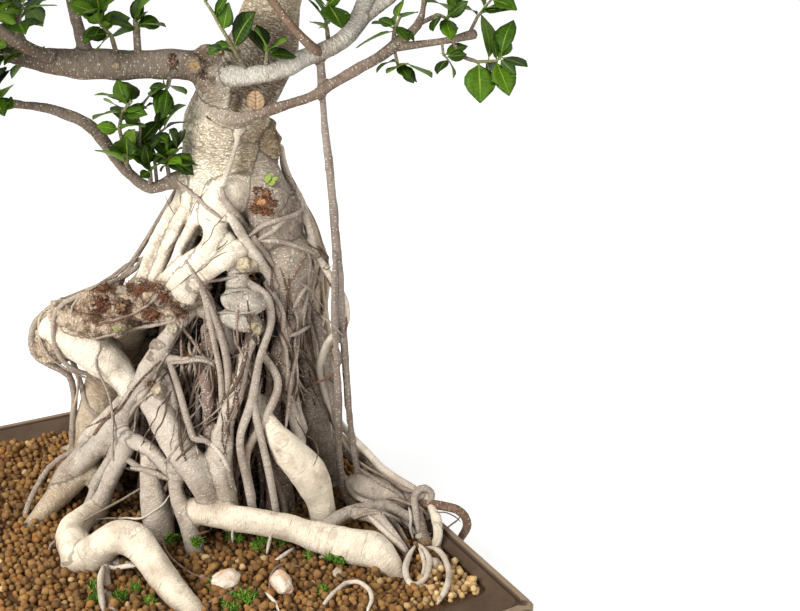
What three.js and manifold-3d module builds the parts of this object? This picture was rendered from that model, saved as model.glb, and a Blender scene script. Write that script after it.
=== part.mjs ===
// Ficus bonsai grown over exposed roots in a plain rectangular pot. Millimetres, +Z up.
// The origin is the centre of the pot's underside, and X runs along the pot's long side.
import * as THREE from "three";
import * as BufferGeometryUtils from "three/addons/utils/BufferGeometryUtils.js";
import Module from "manifold-3d";

const wasm = await Module();
wasm.setup();

// Driving dimensions
const potLength = 650;
const potWidth = 480;
const potHeight = 120;
const lipWidth = 8.5;
const bandAtEnds = 40;
const bandAtSides = 16;
const bandDrop = 8;
const potFloor = 14;
const potCorner = 9;
const footInset = 28;
const footHeight = 12;
const footEase = 3;
const lipHeight = 16;
const lipOverhang = 8;
const lipChamfer = 2;
const lipLine = 1.5;
const soilTop = potHeight - bandDrop;
const drainRadius = 14;
const drainFromCentre = 150;
const gap = 0.3;

const granulePitch = 25;
const granuleRise = 5.5;
const levelRing = 1.3 * granulePitch;
const rootBallRadius = 56;
const rootBallDepth = 55;
const treeTurn = THREE.MathUtils.degToRad(61);

const leafLength = 40;
const leafWidth = 21;
const leafThick = 1.6;
const leafCup = 0.06;
const leafSink = 0.4;
const stemTaper = 0.4;
const goldenAngle = THREE.MathUtils.degToRad(137.5);
const dryLeafWidth = 18;
const dryLeafHeight = 19.2;

const soilLength = potLength - 2 * (lipWidth + bandAtEnds);
const soilWidth = potWidth - 2 * (lipWidth + bandAtSides);
const soilCorner = 6;

// Finishes
const finish = (color, roughness) => new THREE.MeshStandardMaterial({ color, roughness, metalness: 0 });
const unglazedClay = finish(0x6a5846, 0.85);
const bakedGranules = finish(0x8a5a30, 0.95);
const bark = finish(0xcfc3a8, 0.8);
const greenLeaf = finish(0x3f7a1e, 0.45);
const deadLeaf = finish(0xd9b98a, 0.7);
const whiteStone = finish(0xe8e0d2, 0.8);

// Solids and meshes
function solidFrom(geometry) {
  const bare = geometry.clone();
  bare.deleteAttribute("normal");
  bare.deleteAttribute("uv");
  const merged = BufferGeometryUtils.mergeVertices(bare, 1e-4);
  return new wasm.Manifold(
    new wasm.Mesh({
      numProp: 3,
      vertProperties: new Float32Array(merged.attributes.position.array),
      triVerts: new Uint32Array(merged.index.array),
    }),
  );
}

function solidFromFaces(points, faces) {
  return new wasm.Manifold(
    new wasm.Mesh({
      numProp: 3,
      vertProperties: new Float32Array(points.flat()),
      triVerts: new Uint32Array(faces.flat()),
    }),
  );
}

// The largest outer body, without sealed hollows or loose scraps.
function wholeBody(solid) {
  const bodies = solid.decompose();
  return bodies.reduce((best, body) => (body.volume() > best.volume() ? body : best));
}

function named(name, solid, material) {
  const cut = solid.getMesh();
  const geometry = new THREE.BufferGeometry();
  geometry.setAttribute("position", new THREE.BufferAttribute(new Float32Array(cut.vertProperties), 3));
  geometry.setIndex(new THREE.BufferAttribute(new Uint32Array(cut.triVerts), 1));
  geometry.computeVertexNormals();
  const mesh = new THREE.Mesh(geometry, material);
  mesh.name = name;
  return mesh;
}

function boxSolid(length, width, low, high) {
  const box = new THREE.BoxGeometry(length, width, high - low);
  box.translate(0, 0, (low + high) / 2);
  return solidFrom(box);
}

// A tree point is [across, away, up], seen from the front of the tree, which stands turned in the pot.
function turned([across, away, up, ...rest]) {
  const x = across * Math.cos(treeTurn) - away * Math.sin(treeTurn);
  const y = across * Math.sin(treeTurn) + away * Math.cos(treeTurn);
  return [x, y, up, ...rest];
}

// A limb thinner than the radius has this many sides.
const sidesByRadius = [[5.2, 4], [9.6, 5], [14, 6], [32, 7], [Infinity, 9]];

// A closed round limb along points of [x, y, z, radius], with flat ends. Thick limbs have more sides.
function limb(route) {
  const thickest = Math.max(...route.map(([, , , radius]) => radius));
  const sides = sidesByRadius.find(([radius]) => thickest < radius)[1];
  const centres = route.map(([x, y, z]) => new THREE.Vector3(x, y, z));
  const last = centres.length - 1;
  const points = [];
  const faces = [];
  let across = new THREE.Vector3(0.31, 0.95, 0.08);
  centres.forEach((centre, i) => {
    const into = centre.clone().sub(centres[Math.max(i - 1, 0)]).normalize();
    const out = centres[Math.min(i + 1, last)].clone().sub(centre).normalize();
    const along = into.add(out).normalize();
    across = across.clone().addScaledVector(along, -across.dot(along)).normalize();
    const up = along.clone().cross(across);
    for (let k = 0; k < sides; k += 1) {
      const angle = (2 * Math.PI * k) / sides;
      const rim = centre
        .clone()
        .addScaledVector(across, route[i][3] * Math.cos(angle))
        .addScaledVector(up, route[i][3] * Math.sin(angle));
      points.push([rim.x, rim.y, rim.z]);
    }
  });
  for (let i = 0; i < last; i += 1) {
    for (let k = 0; k < sides; k += 1) {
      const here = i * sides + k;
      const beside = i * sides + ((k + 1) % sides);
      faces.push([here, beside, beside + sides], [here, beside + sides, here + sides]);
    }
  }
  for (let k = 1; k < sides - 1; k += 1) {
    faces.push([0, k + 1, k]);
    faces.push([last * sides, last * sides + k, last * sides + k + 1]);
  }
  return solidFromFaces(points, faces);
}

// Seeded draws between 0 and 1
function draws(seed) {
  let state = seed >>> 0;
  return () => {
    state = (Math.imul(1664525, state) + 1013904223) >>> 0;
    return state / 4294967296;
  };
}

// Pot
function roundedOutline(length, width, corner) {
  const steps = 2;
  const outline = [];
  [[1, 1, 0], [-1, 1, 1], [-1, -1, 2], [1, -1, 3]].forEach(([sx, sy, quarter]) => {
    for (let k = 0; k <= steps; k += 1) {
      const angle = (Math.PI / 2) * (quarter + k / steps);
      const x = sx * (length / 2 - corner) + corner * Math.cos(angle);
      const y = sy * (width / 2 - corner) + corner * Math.sin(angle);
      outline.push([x, y]);
    }
  });
  return outline;
}

function potSolid() {
  const lipFoot = potHeight - lipHeight;
  const profile = [
    [footInset + footEase, 0],
    [footInset, footEase],
    [footInset, footHeight - footEase],
    [footInset - footEase, footHeight],
    [lipOverhang, lipFoot - 2 * footEase],
    [0, lipFoot],
    [0, potHeight - lipChamfer],
    [lipChamfer, potHeight],
    [lipWidth, potHeight],
    [lipWidth + 1, potHeight - lipLine],
  ];
  const rings = [
    ...profile.map(([inset, z]) => [potLength - 2 * inset, potWidth - 2 * inset, z]),
    [soilLength, soilWidth, soilTop],
    [soilLength, soilWidth, potFloor],
  ];
  const around = roundedOutline(10, 10, 1).length;
  const points = [];
  rings.forEach(([length, width, z], i) => {
    const corner = i < rings.length - 2 ? potCorner : soilCorner;
    roundedOutline(length, width, corner).forEach(([x, y]) => points.push([x, y, z]));
  });
  const faces = [];
  for (let i = 0; i < rings.length - 1; i += 1) {
    for (let k = 0; k < around; k += 1) {
      const here = i * around + k;
      const beside = i * around + ((k + 1) % around);
      faces.push([here, beside, beside + around], [here, beside + around, here + around]);
    }
  }
  const top = (rings.length - 1) * around;
  for (let k = 1; k < around - 1; k += 1) {
    faces.push([0, k + 1, k]);
    faces.push([top, top + k, top + k + 1]);
  }
  let pot = solidFromFaces(points, faces);
  [-drainFromCentre, drainFromCentre].forEach((x) => {
    const drain = new THREE.CylinderGeometry(drainRadius, drainRadius, 3 * potFloor, 12);
    drain.rotateX(Math.PI / 2);
    drain.translate(x, 0, 0);
    pot = pot.subtract(solidFrom(drain));
  });
  return pot;
}

// Wood: each route is a list of [across, away, up, radius] in the tree's own turned frame.
const trunkRoute = [
  [52, 72, 445, 43], [50, 70, 477, 43.5], [51, 70, 509, 41], [54, 70, 532, 40], [67, 70, 555, 42],
  [82, 70, 583, 40.5], [97, 70, 612, 34], [108, 70, 650, 28.5], [119, 74, 700, 25], [121, 80, 740, 21],
  [114, 88, 785, 17], [104, 94, 830, 13], [97, 98, 872, 9], [94, 100, 909, 5.4],
];
const trunkKnot = [[42, 48, 607, 14], [51, 46, 590, 20], [59, 46, 569, 21], [62, 46, 550, 15]];

const branches = {
  left: [[52, 50, 593, 19], [35, 46, 598, 17], [-34, 38, 599, 14], [-95, 32, 604, 13],
    [-130, 28, 611, 11.5], [-165, 22, 622, 9.5], [-200, 16, 640, 7], [-232, 9, 666, 4.6]],
  leftFront: [[-92, 36, 604, 8], [-112, 8, 618, 7], [-128, -18, 636, 5.5], [-142, -46, 661, 3.8]],
  leftBack: [[-122, 28, 610, 8], [-140, 55, 625, 6.5], [-150, 88, 645, 5], [-156, 119, 671, 3.8]],
  leftRise: [[-68, 36, 602, 7], [-78, 44, 640, 6], [-84, 50, 680, 5], [-88, 53, 719, 3.8]],
  // Pale branch that crosses the trunk and forks to the right
  pale: [[54, 46, 590, 14], [75, 32, 590, 11], [110, 22, 595, 9.5], [128, 26, 601, 10.5],
    [143, 32, 608, 9.5], [174, 38, 620, 9], [188, 40, 631, 9], [197, 42, 644, 9.5], [203, 45, 665, 7.5],
    [208, 44, 712, 6.5], [204, 38, 752, 5.5], [197, 29, 794, 4.2]],
  paleFork: [[197, 42, 641, 7], [227, 46, 663, 5.5], [240, 48, 673, 5], [266, 62, 696, 5],
    [296, 78, 722, 4.2]],
  // Brown shoot in front of the trunk
  brown: [[158, 32, 613, 5], [151, 20, 620, 5], [143, 14, 629, 4.5], [123, 14, 653, 4], [106, 20, 679, 4],
    [96, 8, 705, 4.5], [84, -8, 736, 4], [75, -24, 768, 3.4]],
  // Lower branch that loops under the pale one
  lower: [[36, 48, 566, 9], [53, 34, 555, 9], [70, 28, 549, 7.5], [108, 28, 558, 6], [148, 32, 570, 5.5],
    [187, 36, 592, 5.5], [222, 40, 612, 6], [234, 42, 621, 6.5], [254, 45, 638, 4.5], [262, 47, 668, 3.5],
    [290, 39, 726, 2.8]],
  lowerFork: [[232, 42, 617, 5], [251, 42, 619, 4], [287, 42, 624, 3.5], [308, 42, 629, 5]],
  lowLeft: [[28, 56, 485, 13], [9, 46, 483, 10], [-3, 42, 479, 7.5], [-17, 40, 476, 6.5],
    [-39, 36, 493, 6], [-75, 36, 542, 6.5], [-118, 28, 560, 5], [-146, 18, 566, 4]],
  // Crown
  crownLeft: [[118, 76, 715, 10], [80, 66, 742, 10], [38, 58, 765, 8.5], [-4, 50, 786, 7],
    [-44, 43, 815, 4.6]],
  crownLeftFront: [[38, 58, 765, 6], [22, 30, 790, 5], [6, 0, 819, 3.8]],
  crownRightBack: [[120, 80, 735, 10], [160, 104, 765, 9], [198, 124, 795, 7.5], [235, 140, 829, 5]],
  crownBack: [[114, 88, 780, 9], [108, 130, 805, 8], [98, 168, 832, 6.5], [87, 203, 865, 4.4]],
  crownLeftBack: [[110, 92, 800, 8], [72, 112, 828, 7], [36, 128, 855, 5.5], [2, 142, 883, 3.8]],
  topFront: [[104, 94, 835, 7], [130, 72, 858, 6], [155, 49, 885, 4.2]],
  lowBack: [[85, 90, 588, 12], [90, 140, 610, 9], [100, 180, 632, 7.5], [112, 218, 658, 6],
    [121, 251, 687, 4.2]],
};

// Two long props from the pale branch to the ground, a brace behind them and a root down the trunk's face
const props = [
  [[158, 38, 611, 4.5], [161, 40, 541, 4.5], [166, 40, 479, 5], [170, 42, 420, 5], [177, 42, 285, 4.5],
    [181, 42, 213, 4], [188, 42, 151, 4.5], [191, 38, 133, 5], [198, 30, 116, 6]],
  [[168, 39, 405, 3], [167, 35, 373, 3.5], [169, 34, 241, 4.5], [170, 34, 153, 5], [173, 32, 134, 6],
    [189, 18, 108, 8]],
  [[134, 74, 350, 5], [148, 66, 310, 5], [157, 58, 266, 5], [169, 38, 200, 4.5]],
  [[80, 30, 546, 3.2], [67, 24, 505, 3.2], [57, 20, 477, 4.2], [60, 24, 459, 5], [69, 19, 444, 5],
    [89, 21, 410, 5.6], [106, 32, 374, 6]],
];

// Roots that part below the trunk: the fluted left leg, the apron, the right shoulder and the lumps between
const upperRoots = [
  [[16, 60, 473, 8.5], [2, 62, 452, 6.5], [-12, 59, 431, 6.5], [-32, 51, 390, 6.5], [-40, 51, 366, 7]],
  [[27, 44, 473, 9], [12, 47, 448, 7.5], [-3, 52, 419, 7], [-26, 50, 370, 8]],
  [[38, 38, 468, 9], [25, 33, 443, 6.5], [4, 32, 405, 5.5], [-6, 35, 380, 7]],
  [[23, 62, 462, 15.5], [1, 80, 425, 15], [-18, 79, 392, 15], [-37, 78, 350, 17.5]],
  [[58, 46, 471, 28.5], [48, 32, 448, 17.5], [45, 23, 428, 11.5], [37, 18, 410, 13.5],
    [13, 18, 374, 17.5]],
  [[85, 37, 424, 8.5], [71, 19, 416, 9.5], [36, 9, 393, 10], [14, 15, 377, 12.5]],
  [[89, 66, 500, 12.5], [99, 56, 483, 18.5], [101, 50, 465, 26], [104, 50, 447, 30], [102, 70, 421, 30]],
  [[118, 62, 470, 7.5], [129, 56, 460, 6], [141, 50, 433, 4.5], [147, 54, 400, 5.5]],
  [[102, 68, 421, 21], [112, 58, 404, 27.5], [114, 55, 385, 28.5], [117, 55, 366, 24.5],
    [125, 57, 322, 14]],
  [[130, 60, 419, 4.5], [143, 59, 411, 5.5], [156, 63, 388, 5], [150, 60, 372, 3.5]],
  [[58, 14, 365, 8], [66, 8, 366, 13.5], [79, 8, 364, 14.5], [98, 26, 356, 6.5]],
  [[68, 24, 403, 7], [69, 18, 387, 11.5], [69, 16, 371, 11.5]],
  [[53, 9, 347, 7], [64, 4, 346, 11.5], [81, 8, 340, 10.5], [94, 19, 332, 6.5]],
];

// Knotty stump and the roots under it
const leftRoots = [
  [[30, 22, 373, 13.5], [-2, 30, 360, 20], [-41, 53, 343, 24.5], [-76, 54, 336, 27], [-111, 59, 320, 27],
    [-148, 71, 292, 25]],
  [[-136, 60, 322, 22], [-94, 47, 292, 24], [-70, 41, 271, 19.5], [-50, 24, 256, 13]],
  [[-1, 16, 330, 8], [-15, 8, 310, 10], [-55, 11, 242, 9.5], [-70, 17, 217, 11.5], [-92, 32, 192, 14.5],
    [-139, 32, 142, 14.5], [-158, 30, 102, 13.5]],
  [[-30, 6, 262, 12.5], [-5, -24, 236, 15], [8, -35, 218, 15], [21, -42, 201, 14.5],
    [38, -48, 158, 9.5]],
  [[6, -33, 214, 10.5], [4, -46, 173, 8], [16, -60, 138, 9], [24, -60, 104, 11]],
  [[-69, 18, 215, 9.5], [-48, -7, 213, 9], [-28, -22, 211, 8], [0, -36, 186, 7.5]],
  [[-52, -3, 211, 11.5], [-75, -1, 167, 9], [-97, 0, 120, 11], [-106, 0, 98, 13]],
  [[-68, 15, 212, 6.5], [-74, 16, 187, 6.5], [-90, 20, 163, 6.5], [-117, 29, 102, 8.5]],
  [[-32, -14, 200, 7.5], [-28, -25, 181, 11], [-21, -40, 148, 15], [-14, -45, 102, 13]],
  [[-97, -84, 104, 18.5], [-75, -86, 127, 19.5], [-54, -92, 145, 17], [-33, -98, 148, 17],
    [-15, -110, 137, 15.5], [3, -130, 126, 14.5], [23, -152, 117, 13.5], [45, -174, 104, 13]],
  [[-97, 0, 125, 14], [-112, -40, 122, 17], [-97, -78, 118, 18]],
  [[-34, -96, 116, 3.5], [-58, -90, 117, 4], [-52, -134, 115, 4], [-35, -178, 112, 4]],
];

// Roots down the front of the mass
const frontRoots = [
  [[76, 17, 383, 5], [98, 15, 365, 5.5], [102, 15, 349, 4.5], [90, -6, 303, 4], [83, -20, 266, 5],
    [71, -35, 228, 4], [77, -41, 182, 4.5], [82, -42, 142, 4.5]],
  [[83, -20, 266, 4.5], [97, -33, 201, 4], [106, -38, 138, 3.5]],
  [[86, 20, 332, 7], [74, -7, 301, 6.5], [70, -14, 282, 7], [55, -26, 243, 10.5], [49, -34, 202, 14.5],
    [51, -36, 174, 13.5], [56, -38, 130, 11]],
  [[97, 32, 377, 5], [112, 27, 334, 4.5], [114, 17, 284, 5], [117, 11, 258, 5.5], [130, 2, 205, 7]],
  [[123, 50, 352, 5.5], [122, 35, 305, 5], [123, 18, 254, 5.5], [131, 13, 215, 6.5]],
  [[90, 14, 306, 4.5], [108, 2, 278, 4.5], [94, -19, 242, 4.5], [76, -30, 210, 4.5], [80, -38, 160, 5]],
  [[72, 18, 268, 9], [96, -12, 242, 9], [107, -20, 225, 13.5], [120, -21, 206, 18], [134, -18, 186, 19],
    [151, -11, 143, 16], [154, -11, 102, 14]],
  [[122, 76, 332, 13], [132, 64, 276, 9.5], [134, 60, 251, 10.5], [142, 60, 199, 15], [148, 64, 175, 14],
    [159, 76, 116, 6]],
  [[24, 12, 310, 6.5], [34, -6, 273, 7], [37, -22, 218, 7.5]],
  [[40, -24, 217, 7.5], [45, -31, 199, 10], [50, -34, 150, 9.5]],
  [[-13, 9, 286, 5.5], [4, -15, 241, 6], [21, -32, 198, 6]],
  [[-14, 10, 300, 6], [11, -6, 306, 4], [30, -9, 307, 4], [50, 0, 298, 4]],
  [[-14, 14, 280, 7], [-15, -9, 272, 7]],
];

// Roots that lie on the soil, with the ones that loop over the rim on the right
const lyingRoots = [
  [[12, -44, 154, 11], [27, -50, 152, 15], [54, -54, 149, 14], [85, -57, 145, 13.6],
    [116, -60, 140, 13.6], [148, -66, 132, 14.3], [179, -78, 130, 17.5], [208, -86, 129, 19],
    [238, -105, 106, 8]],
  [[158, -50, 134, 7], [178, -29, 137, 8], [198, -16, 136, 7.5], [223, -7, 132, 7],
    [253, -22, 124, 5.5]],
  [[182, -26, 136, 5.5], [209, -44, 142, 7.5], [224, -61, 138, 6], [249, -78, 108, 4]],
  [[176, 66, 166, 8.5], [193, 66, 158, 9], [214, 47, 142, 7], [242, 23, 136, 6], [256, -14, 130, 6],
    [258, -32, 124, 7], [264, -53, 106, 8]],
  [[182, 41, 134, 11.5], [196, 31, 134, 15.5], [212, 26, 132, 15.5], [243, 12, 126, 6.5]],
  [[254, 0, 132, 6], [256, 4, 142, 6.5], [264, 6, 146, 6.5], [270, -2, 134, 5.5]],
  [[256, -2, 134, 5.5], [287, -10, 134, 5], [299, -15, 133, 5], [306, -17, 127, 5], [309, -15, 116, 5],
    [301, -11, 92, 4]],
  [[269, -8, 134, 4.5], [276, -31, 128, 6], [276, -48, 120, 5], [273, -64, 108, 3.5]],
  [[-110, 40, 160, 15], [-145, 20, 130, 13], [-170, -12, 104, 10]],
  [[-90, 120, 170, 15], [-140, 150, 126, 13], [-186, 172, 102, 9]],
  [[52, 130, 185, 16], [52, 178, 150, 15], [50, 230, 124, 13], [40, 284, 102, 9]],
  [[110, 150, 150, 14], [118, 185, 124, 11], [112, 215, 102, 8]],
];

// The heart of the root mass and the thick roots behind it
const backRoots = [
  [[54, 78, 470, 40], [70, 85, 400, 38], [66, 86, 340, 50], [46, 81, 215, 70], [40, 80, 100, 82]],
  [[53, 88, 505, 18], [50, 100, 455, 24], [40, 130, 400, 24], [15, 165, 250, 20], [0, 175, 180, 20],
    [-10, 185, 102, 18]],
  [[62, 90, 500, 18], [75, 105, 450, 26], [90, 135, 390, 26], [105, 165, 240, 22], [92, 186, 102, 18]],
  [[70, 78, 500, 18], [90, 90, 440, 24], [120, 110, 390, 24], [136, 122, 260, 20], [136, 120, 102, 16]],
  [[34, 82, 470, 16], [8, 100, 420, 20], [-35, 125, 330, 22], [-80, 145, 190, 22], [-95, 150, 102, 20]],
  [[30, 74, 470, 16], [0, 82, 410, 20], [-60, 85, 320, 22], [-115, 85, 180, 22], [-130, 80, 102, 20]],
];

// The hollow between the two branches on the trunk's face
function trunkHollow() {
  const hollow = new THREE.SphereGeometry(1, 8, 5);
  hollow.rotateX(Math.PI / 2);
  hollow.scale(19, 15, 12);
  hollow.rotateZ(treeTurn);
  const [x, y, z] = turned([78, 30, 568]);
  hollow.translate(x, y, z);
  return solidFrom(hollow);
}

function rootBall(spare) {
  const ball = new THREE.CylinderGeometry(rootBallRadius + spare, rootBallRadius + spare, soilTop, 12);
  ball.rotateX(Math.PI / 2);
  const [x, y] = turned([52, 78, 0]);
  ball.translate(x, y, soilTop / 2 + soilTop - rootBallDepth - spare);
  return solidFrom(ball);
}

// Everything that the wood keeps clear of: the soil's bed and the pot's band and lip.
function potRoom() {
  const bed = boxSolid(soilLength, soilWidth, -10, soilTop + gap);
  const rim = boxSolid(potLength + 2 * gap, potWidth + 2 * gap, -10, potHeight + gap);
  const insideRim = boxSolid(soilLength, soilWidth, -20, potHeight + 10);
  return bed.add(rim.subtract(insideRim));
}

// Leafy sprays. Each leaves the end of a branch, or a twig of its own, and its stem runs through its points.
// blades are leaves placed by hand, as [how far along the stem, tip, width, roll in degrees].
// Where there is a count, the leaves stand round the stem by rule.
const sprays = [
  { name: "spray_left_stub", twig: [[-20, 38, 604], [-19, 36, 633]],
    stem: [[-19, 34, 639], [-19, 33, 643]], thick: 3.8,
    blades: [[0.75, [7, 19, 669], 21, -38], [0.3, [13, 21, 638], 20, -51], [0.05, [-39, 16, 644], 18, 31],
      [0.1, [-44, 33, 628], 16, 48]] },
  { name: "spray_left_upper", twig: [[-39, 36, 604], [-41, 28, 625]],
    stem: [[-45, 24, 634], [-49, 20, 641], [-49, 14, 653]], thick: 2.4,
    blades: [[0.25, [-47, -8, 620], 18, 50], [0.62, [-37, 6, 644], 8, -61], [0.7, [-47, -6, 653], 15, 60],
      [0.82, [-25, 5, 668], 18, -43], [0.82, [-57, 30, 677], 18, 37], [0.95, [-57, -18, 654], 17, 39]] },
  { name: "spray_left_under", twig: [[13, 40, 599], [10, 28, 584]], stem: [[8, 27, 579], [6, 28, 574]],
    thick: 2.2,
    blades: [[0.1, [22, 50, 569], 15, -66], [1, [2, 46, 549], 16, 68]] },
  { name: "spray_low_left_b", twig: [[-36, 36, 494], [-37, 30, 501]],
    stem: [[-35, 24, 513], [-38, 20, 527], [-39, 16, 542], [-34, 13, 558], [-24, 12, 569]], thick: 2.6,
    blades: [[0.15, [-61, 1, 523], 20, 69], [0.33, [-29, 3, 536], 21, 0], [0.65, [-9, 0, 546], 19, -62],
      [0.73, [-37, 51, 554], 24, 0], [0.83, [-54, -20, 557], 21, 50], [0.85, [-57, 36, 566], 17, 75],
      [0.98, [-51, 33, 571], 17, 51], [1, [-52, -15, 579], 20, 67], [1, [-33, 41, 583], 17, 30]] },
  { name: "spray_low_left_a", twig: [[-18, 40, 476], [-16, 32, 493]],
    stem: [[-18, 28, 512], [-23, 26, 525], [-20, 24, 542], [-23, 20, 561]], thick: 2.4,
    blades: [[0.05, [5, 17, 508], 15, -52], [0.1, [-23, 18, 492], 9, 0], [0.42, [0, 19, 530], 14, -40],
      [0.9, [-2, 9, 567], 14, -60], [1, [7, 11, 583], 19, -66], [0.9, [-4, 41, 578], 18, -64],
      [0.6, [-35, 50, 534], 14, 33]] },
  { name: "spray_low_left_d", twig: [[-12, 42, 479], [-12, 40, 498]],
    stem: [[-13, 38, 515], [-10, 36, 529], [3, 32, 539]], thick: 2,
    blades: [[1, [27, 20, 564], 19, -54], [1, [22, 40, 543], 16, -60], [0.7, [-21, 44, 521], 9, 56]] },
  { name: "spray_low_left_c", twig: [[1, 44, 480], [1, 37, 500]],
    stem: [[3, 34, 508], [9, 32, 513], [15, 28, 518]], thick: 2.2,
    blades: [[0.32, [-8, 17, 517], 12, 47], [0.52, [21, 19, 521], 13, -57], [1, [11, 7, 542], 19, 44],
      [0.05, [9, 57, 495], 11, -35], [0.05, [-3, 24, 496], 7, 45], [1, [18, 53, 534], 15, -42]] },
  { name: "spray_low_left_end", from: branches.lowLeft,
    stem: [[-158, 14, 568], [-178, 2, 580], [-192, -14, 594]], thick: 3.4, count: 6, seed: 25 },
  { name: "spray_right_hanging", twig: [[287, 42, 623], [298, 38, 608], [307, 35, 605]],
    stem: [[320, 33, 604], [330, 31, 605], [335, 30, 609]], thick: 1.9,
    blades: [[0.28, [314, 13, 567], 26, 0], [0.73, [342, 13, 574], 21, -13], [1, [358, 8, 602], 16, -32],
      [1, [347, 48, 642], 20, -39], [0.57, [315, 52, 647], 22, 36], [0.5, [323, 57, 586], 21, 0]] },
  { name: "spray_right_bud", twig: [[303, 42, 628], [309, 40, 641]],
    stem: [[313, 38, 648], [318, 36, 655], [326, 34, 665]], thick: 1.8,
    blades: [[0.5, [329, 25, 654], 7, -64], [0.73, [307, 55, 673], 14, 57], [1, [346, 21, 653], 12, -61],
      [0.98, [320, 17, 688], 15, 45], [0.35, [296, 57, 652], 12, 50]] },
  { name: "spray_right_top", twig: [[254, 45, 638], [268, 44, 645]],
    stem: [[275, 42, 647], [282, 40, 644], [287, 38, 650], [289, 36, 660]], thick: 2.2,
    blades: [[0.8, [260, 6, 662], 24, 47], [0.62, [287, 15, 637], 14, -42],
      [0.37, [268, 19, 634], 13, 48], [0.87, [297, 62, 668], 17, -41], [0.87, [281, 64, 670], 18, 40]] },
  { name: "spray_right_inner", twig: [[229, 42, 617], [231, 40, 632]],
    stem: [[233, 38, 638], [236, 36, 645]], thick: 2.2,
    blades: [[0.1, [209, 19, 641], 18, 40], [0.05, [194, 22, 618], 20, 68],
      [0.3, [237, 62, 651], 14, -70], [0.98, [253, 14, 652], 14, -52], [1, [239, 60, 660], 14, -52]] },
  { name: "spray_right_under", twig: [[230, 42, 617], [233, 36, 605]],
    stem: [[236, 34, 601], [244, 32, 602]], thick: 1.8,
    blades: [[0.1, [214, 12, 596], 15, 58], [0.92, [223, 10, 596], 15, 55], [1, [267, 9, 592], 19, -51]] },
  { name: "spray_right_small", twig: [[277, 42, 622], [278, 36, 614]],
    stem: [[280, 33, 609], [283, 31, 606]], thick: 1.4,
    blades: [[0.4, [289, 46, 586], 12, -66], [1, [272, 16, 594], 13, 40]] },
  { name: "spray_inner_front", twig: [[88, 26, 596], [81, 16, 611]],
    stem: [[77, 11, 621], [66, 4, 643], [61, 2, 654], [55, 0, 664]], thick: 2.2,
    blades: [[0.32, [102, 0, 654], 25, -31], [0.72, [72, 21, 663], 13, -54],
      [0.97, [50, -17, 675], 11, 41], [0.98, [60, 18, 678], 12, -46], [0.1, [52, 6, 621], 15, 51]] },
  { name: "spray_inner_top", twig: [[105, 26, 594], [108, 17, 609]],
    stem: [[109, 13, 615], [110, 10, 620]], thick: 2,
    blades: [[0.1, [72, 30, 641], 18, 62], [0.4, [100, -10, 640], 18, 56],
      [0.6, [131, -4, 628], 17, -41]] },
  { name: "spray_inner_right", twig: [[167, 38, 616], [166, 34, 631]],
    stem: [[165, 31, 638], [165, 28, 649], [168, 24, 661]], thick: 2.2,
    blades: [[1, [182, -7, 640], 24, -19], [0.15, [152, 4, 644], 13, 49], [0.58, [148, 17, 665], 16, 61],
      [0.75, [153, 46, 663], 13, 48], [0.97, [174, 49, 679], 16, -45]] },
  { name: "spray_left_end", from: branches.left, stem: [[-242, 6, 675], [-257, 2, 700], [-262, -2, 728]],
    thick: 4.2, count: 6, seed: 41 },
  { name: "spray_left_front", from: branches.leftFront,
    stem: [[-148, -58, 672], [-156, -74, 698], [-158, -84, 724]], thick: 3.4, count: 6, seed: 42 },
  { name: "spray_left_back", from: branches.leftBack,
    stem: [[-159, 130, 681], [-166, 146, 708], [-168, 154, 734]], thick: 3.4, count: 6, seed: 43 },
  { name: "spray_left_rise", from: branches.leftRise,
    stem: [[-89, 54, 732], [-94, 52, 762], [-102, 50, 788]], thick: 3.4, count: 6, seed: 44 },
  { name: "spray_crown_left", from: branches.crownLeft,
    stem: [[-56, 41, 823], [-78, 34, 846], [-92, 30, 872]], thick: 4.2, count: 6, seed: 51 },
  { name: "spray_crown_left_front", from: branches.crownLeftFront,
    stem: [[1, -10, 829], [-9, -28, 856], [-14, -38, 884]], thick: 3.4, count: 6, seed: 52 },
  { name: "spray_crown_left_rise", twig: [[-8, 51, 788], [-10, 54, 806]],
    stem: [[-11, 56, 818], [-16, 62, 846], [-18, 64, 872]], thick: 2.6, count: 6, seed: 53 },
  { name: "spray_crown_right_back", from: branches.crownRightBack,
    stem: [[246, 145, 839], [266, 151, 866], [274, 152, 894]], thick: 4.6, count: 6, seed: 54 },
  { name: "spray_crown_right_mid", twig: [[178, 114, 779], [184, 106, 798]],
    stem: [[188, 101, 810], [198, 84, 838], [204, 72, 864]], thick: 2.6, count: 6, seed: 55 },
  { name: "spray_crown_back", from: branches.crownBack,
    stem: [[84, 213, 876], [80, 230, 904], [78, 236, 930]], thick: 4, count: 6, seed: 56 },
  { name: "spray_crown_left_back", from: branches.crownLeftBack,
    stem: [[-8, 146, 892], [-26, 152, 918], [-36, 152, 944]], thick: 3.4, count: 6, seed: 57 },
  { name: "spray_right_rise", from: branches.pale, stem: [[194, 26, 806], [186, 14, 836], [180, 4, 862]],
    thick: 3.8, count: 6, seed: 58 },
  { name: "spray_right_fork", from: branches.paleFork,
    stem: [[306, 83, 731], [326, 92, 754], [334, 96, 782]], thick: 3.8, count: 6, seed: 59 },
  { name: "spray_right_tip", from: branches.lower, stem: [[295, 37, 736], [306, 30, 762], [314, 22, 786]],
    thick: 2.5, count: 6, seed: 60 },
  { name: "spray_front_rise", from: branches.brown,
    stem: [[72, -30, 778], [66, -44, 806], [60, -52, 832]], thick: 3, count: 6, seed: 61 },
  { name: "spray_top", from: trunkRoute, stem: [[93, 101, 922], [91, 104, 952], [94, 106, 980]],
    thick: 4.8, count: 7, seed: 62 },
  { name: "spray_top_front", from: branches.topFront,
    stem: [[162, 43, 893], [174, 34, 920], [180, 26, 946]], thick: 3.8, count: 6, seed: 63 },
  { name: "spray_back_low", from: branches.lowBack,
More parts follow.
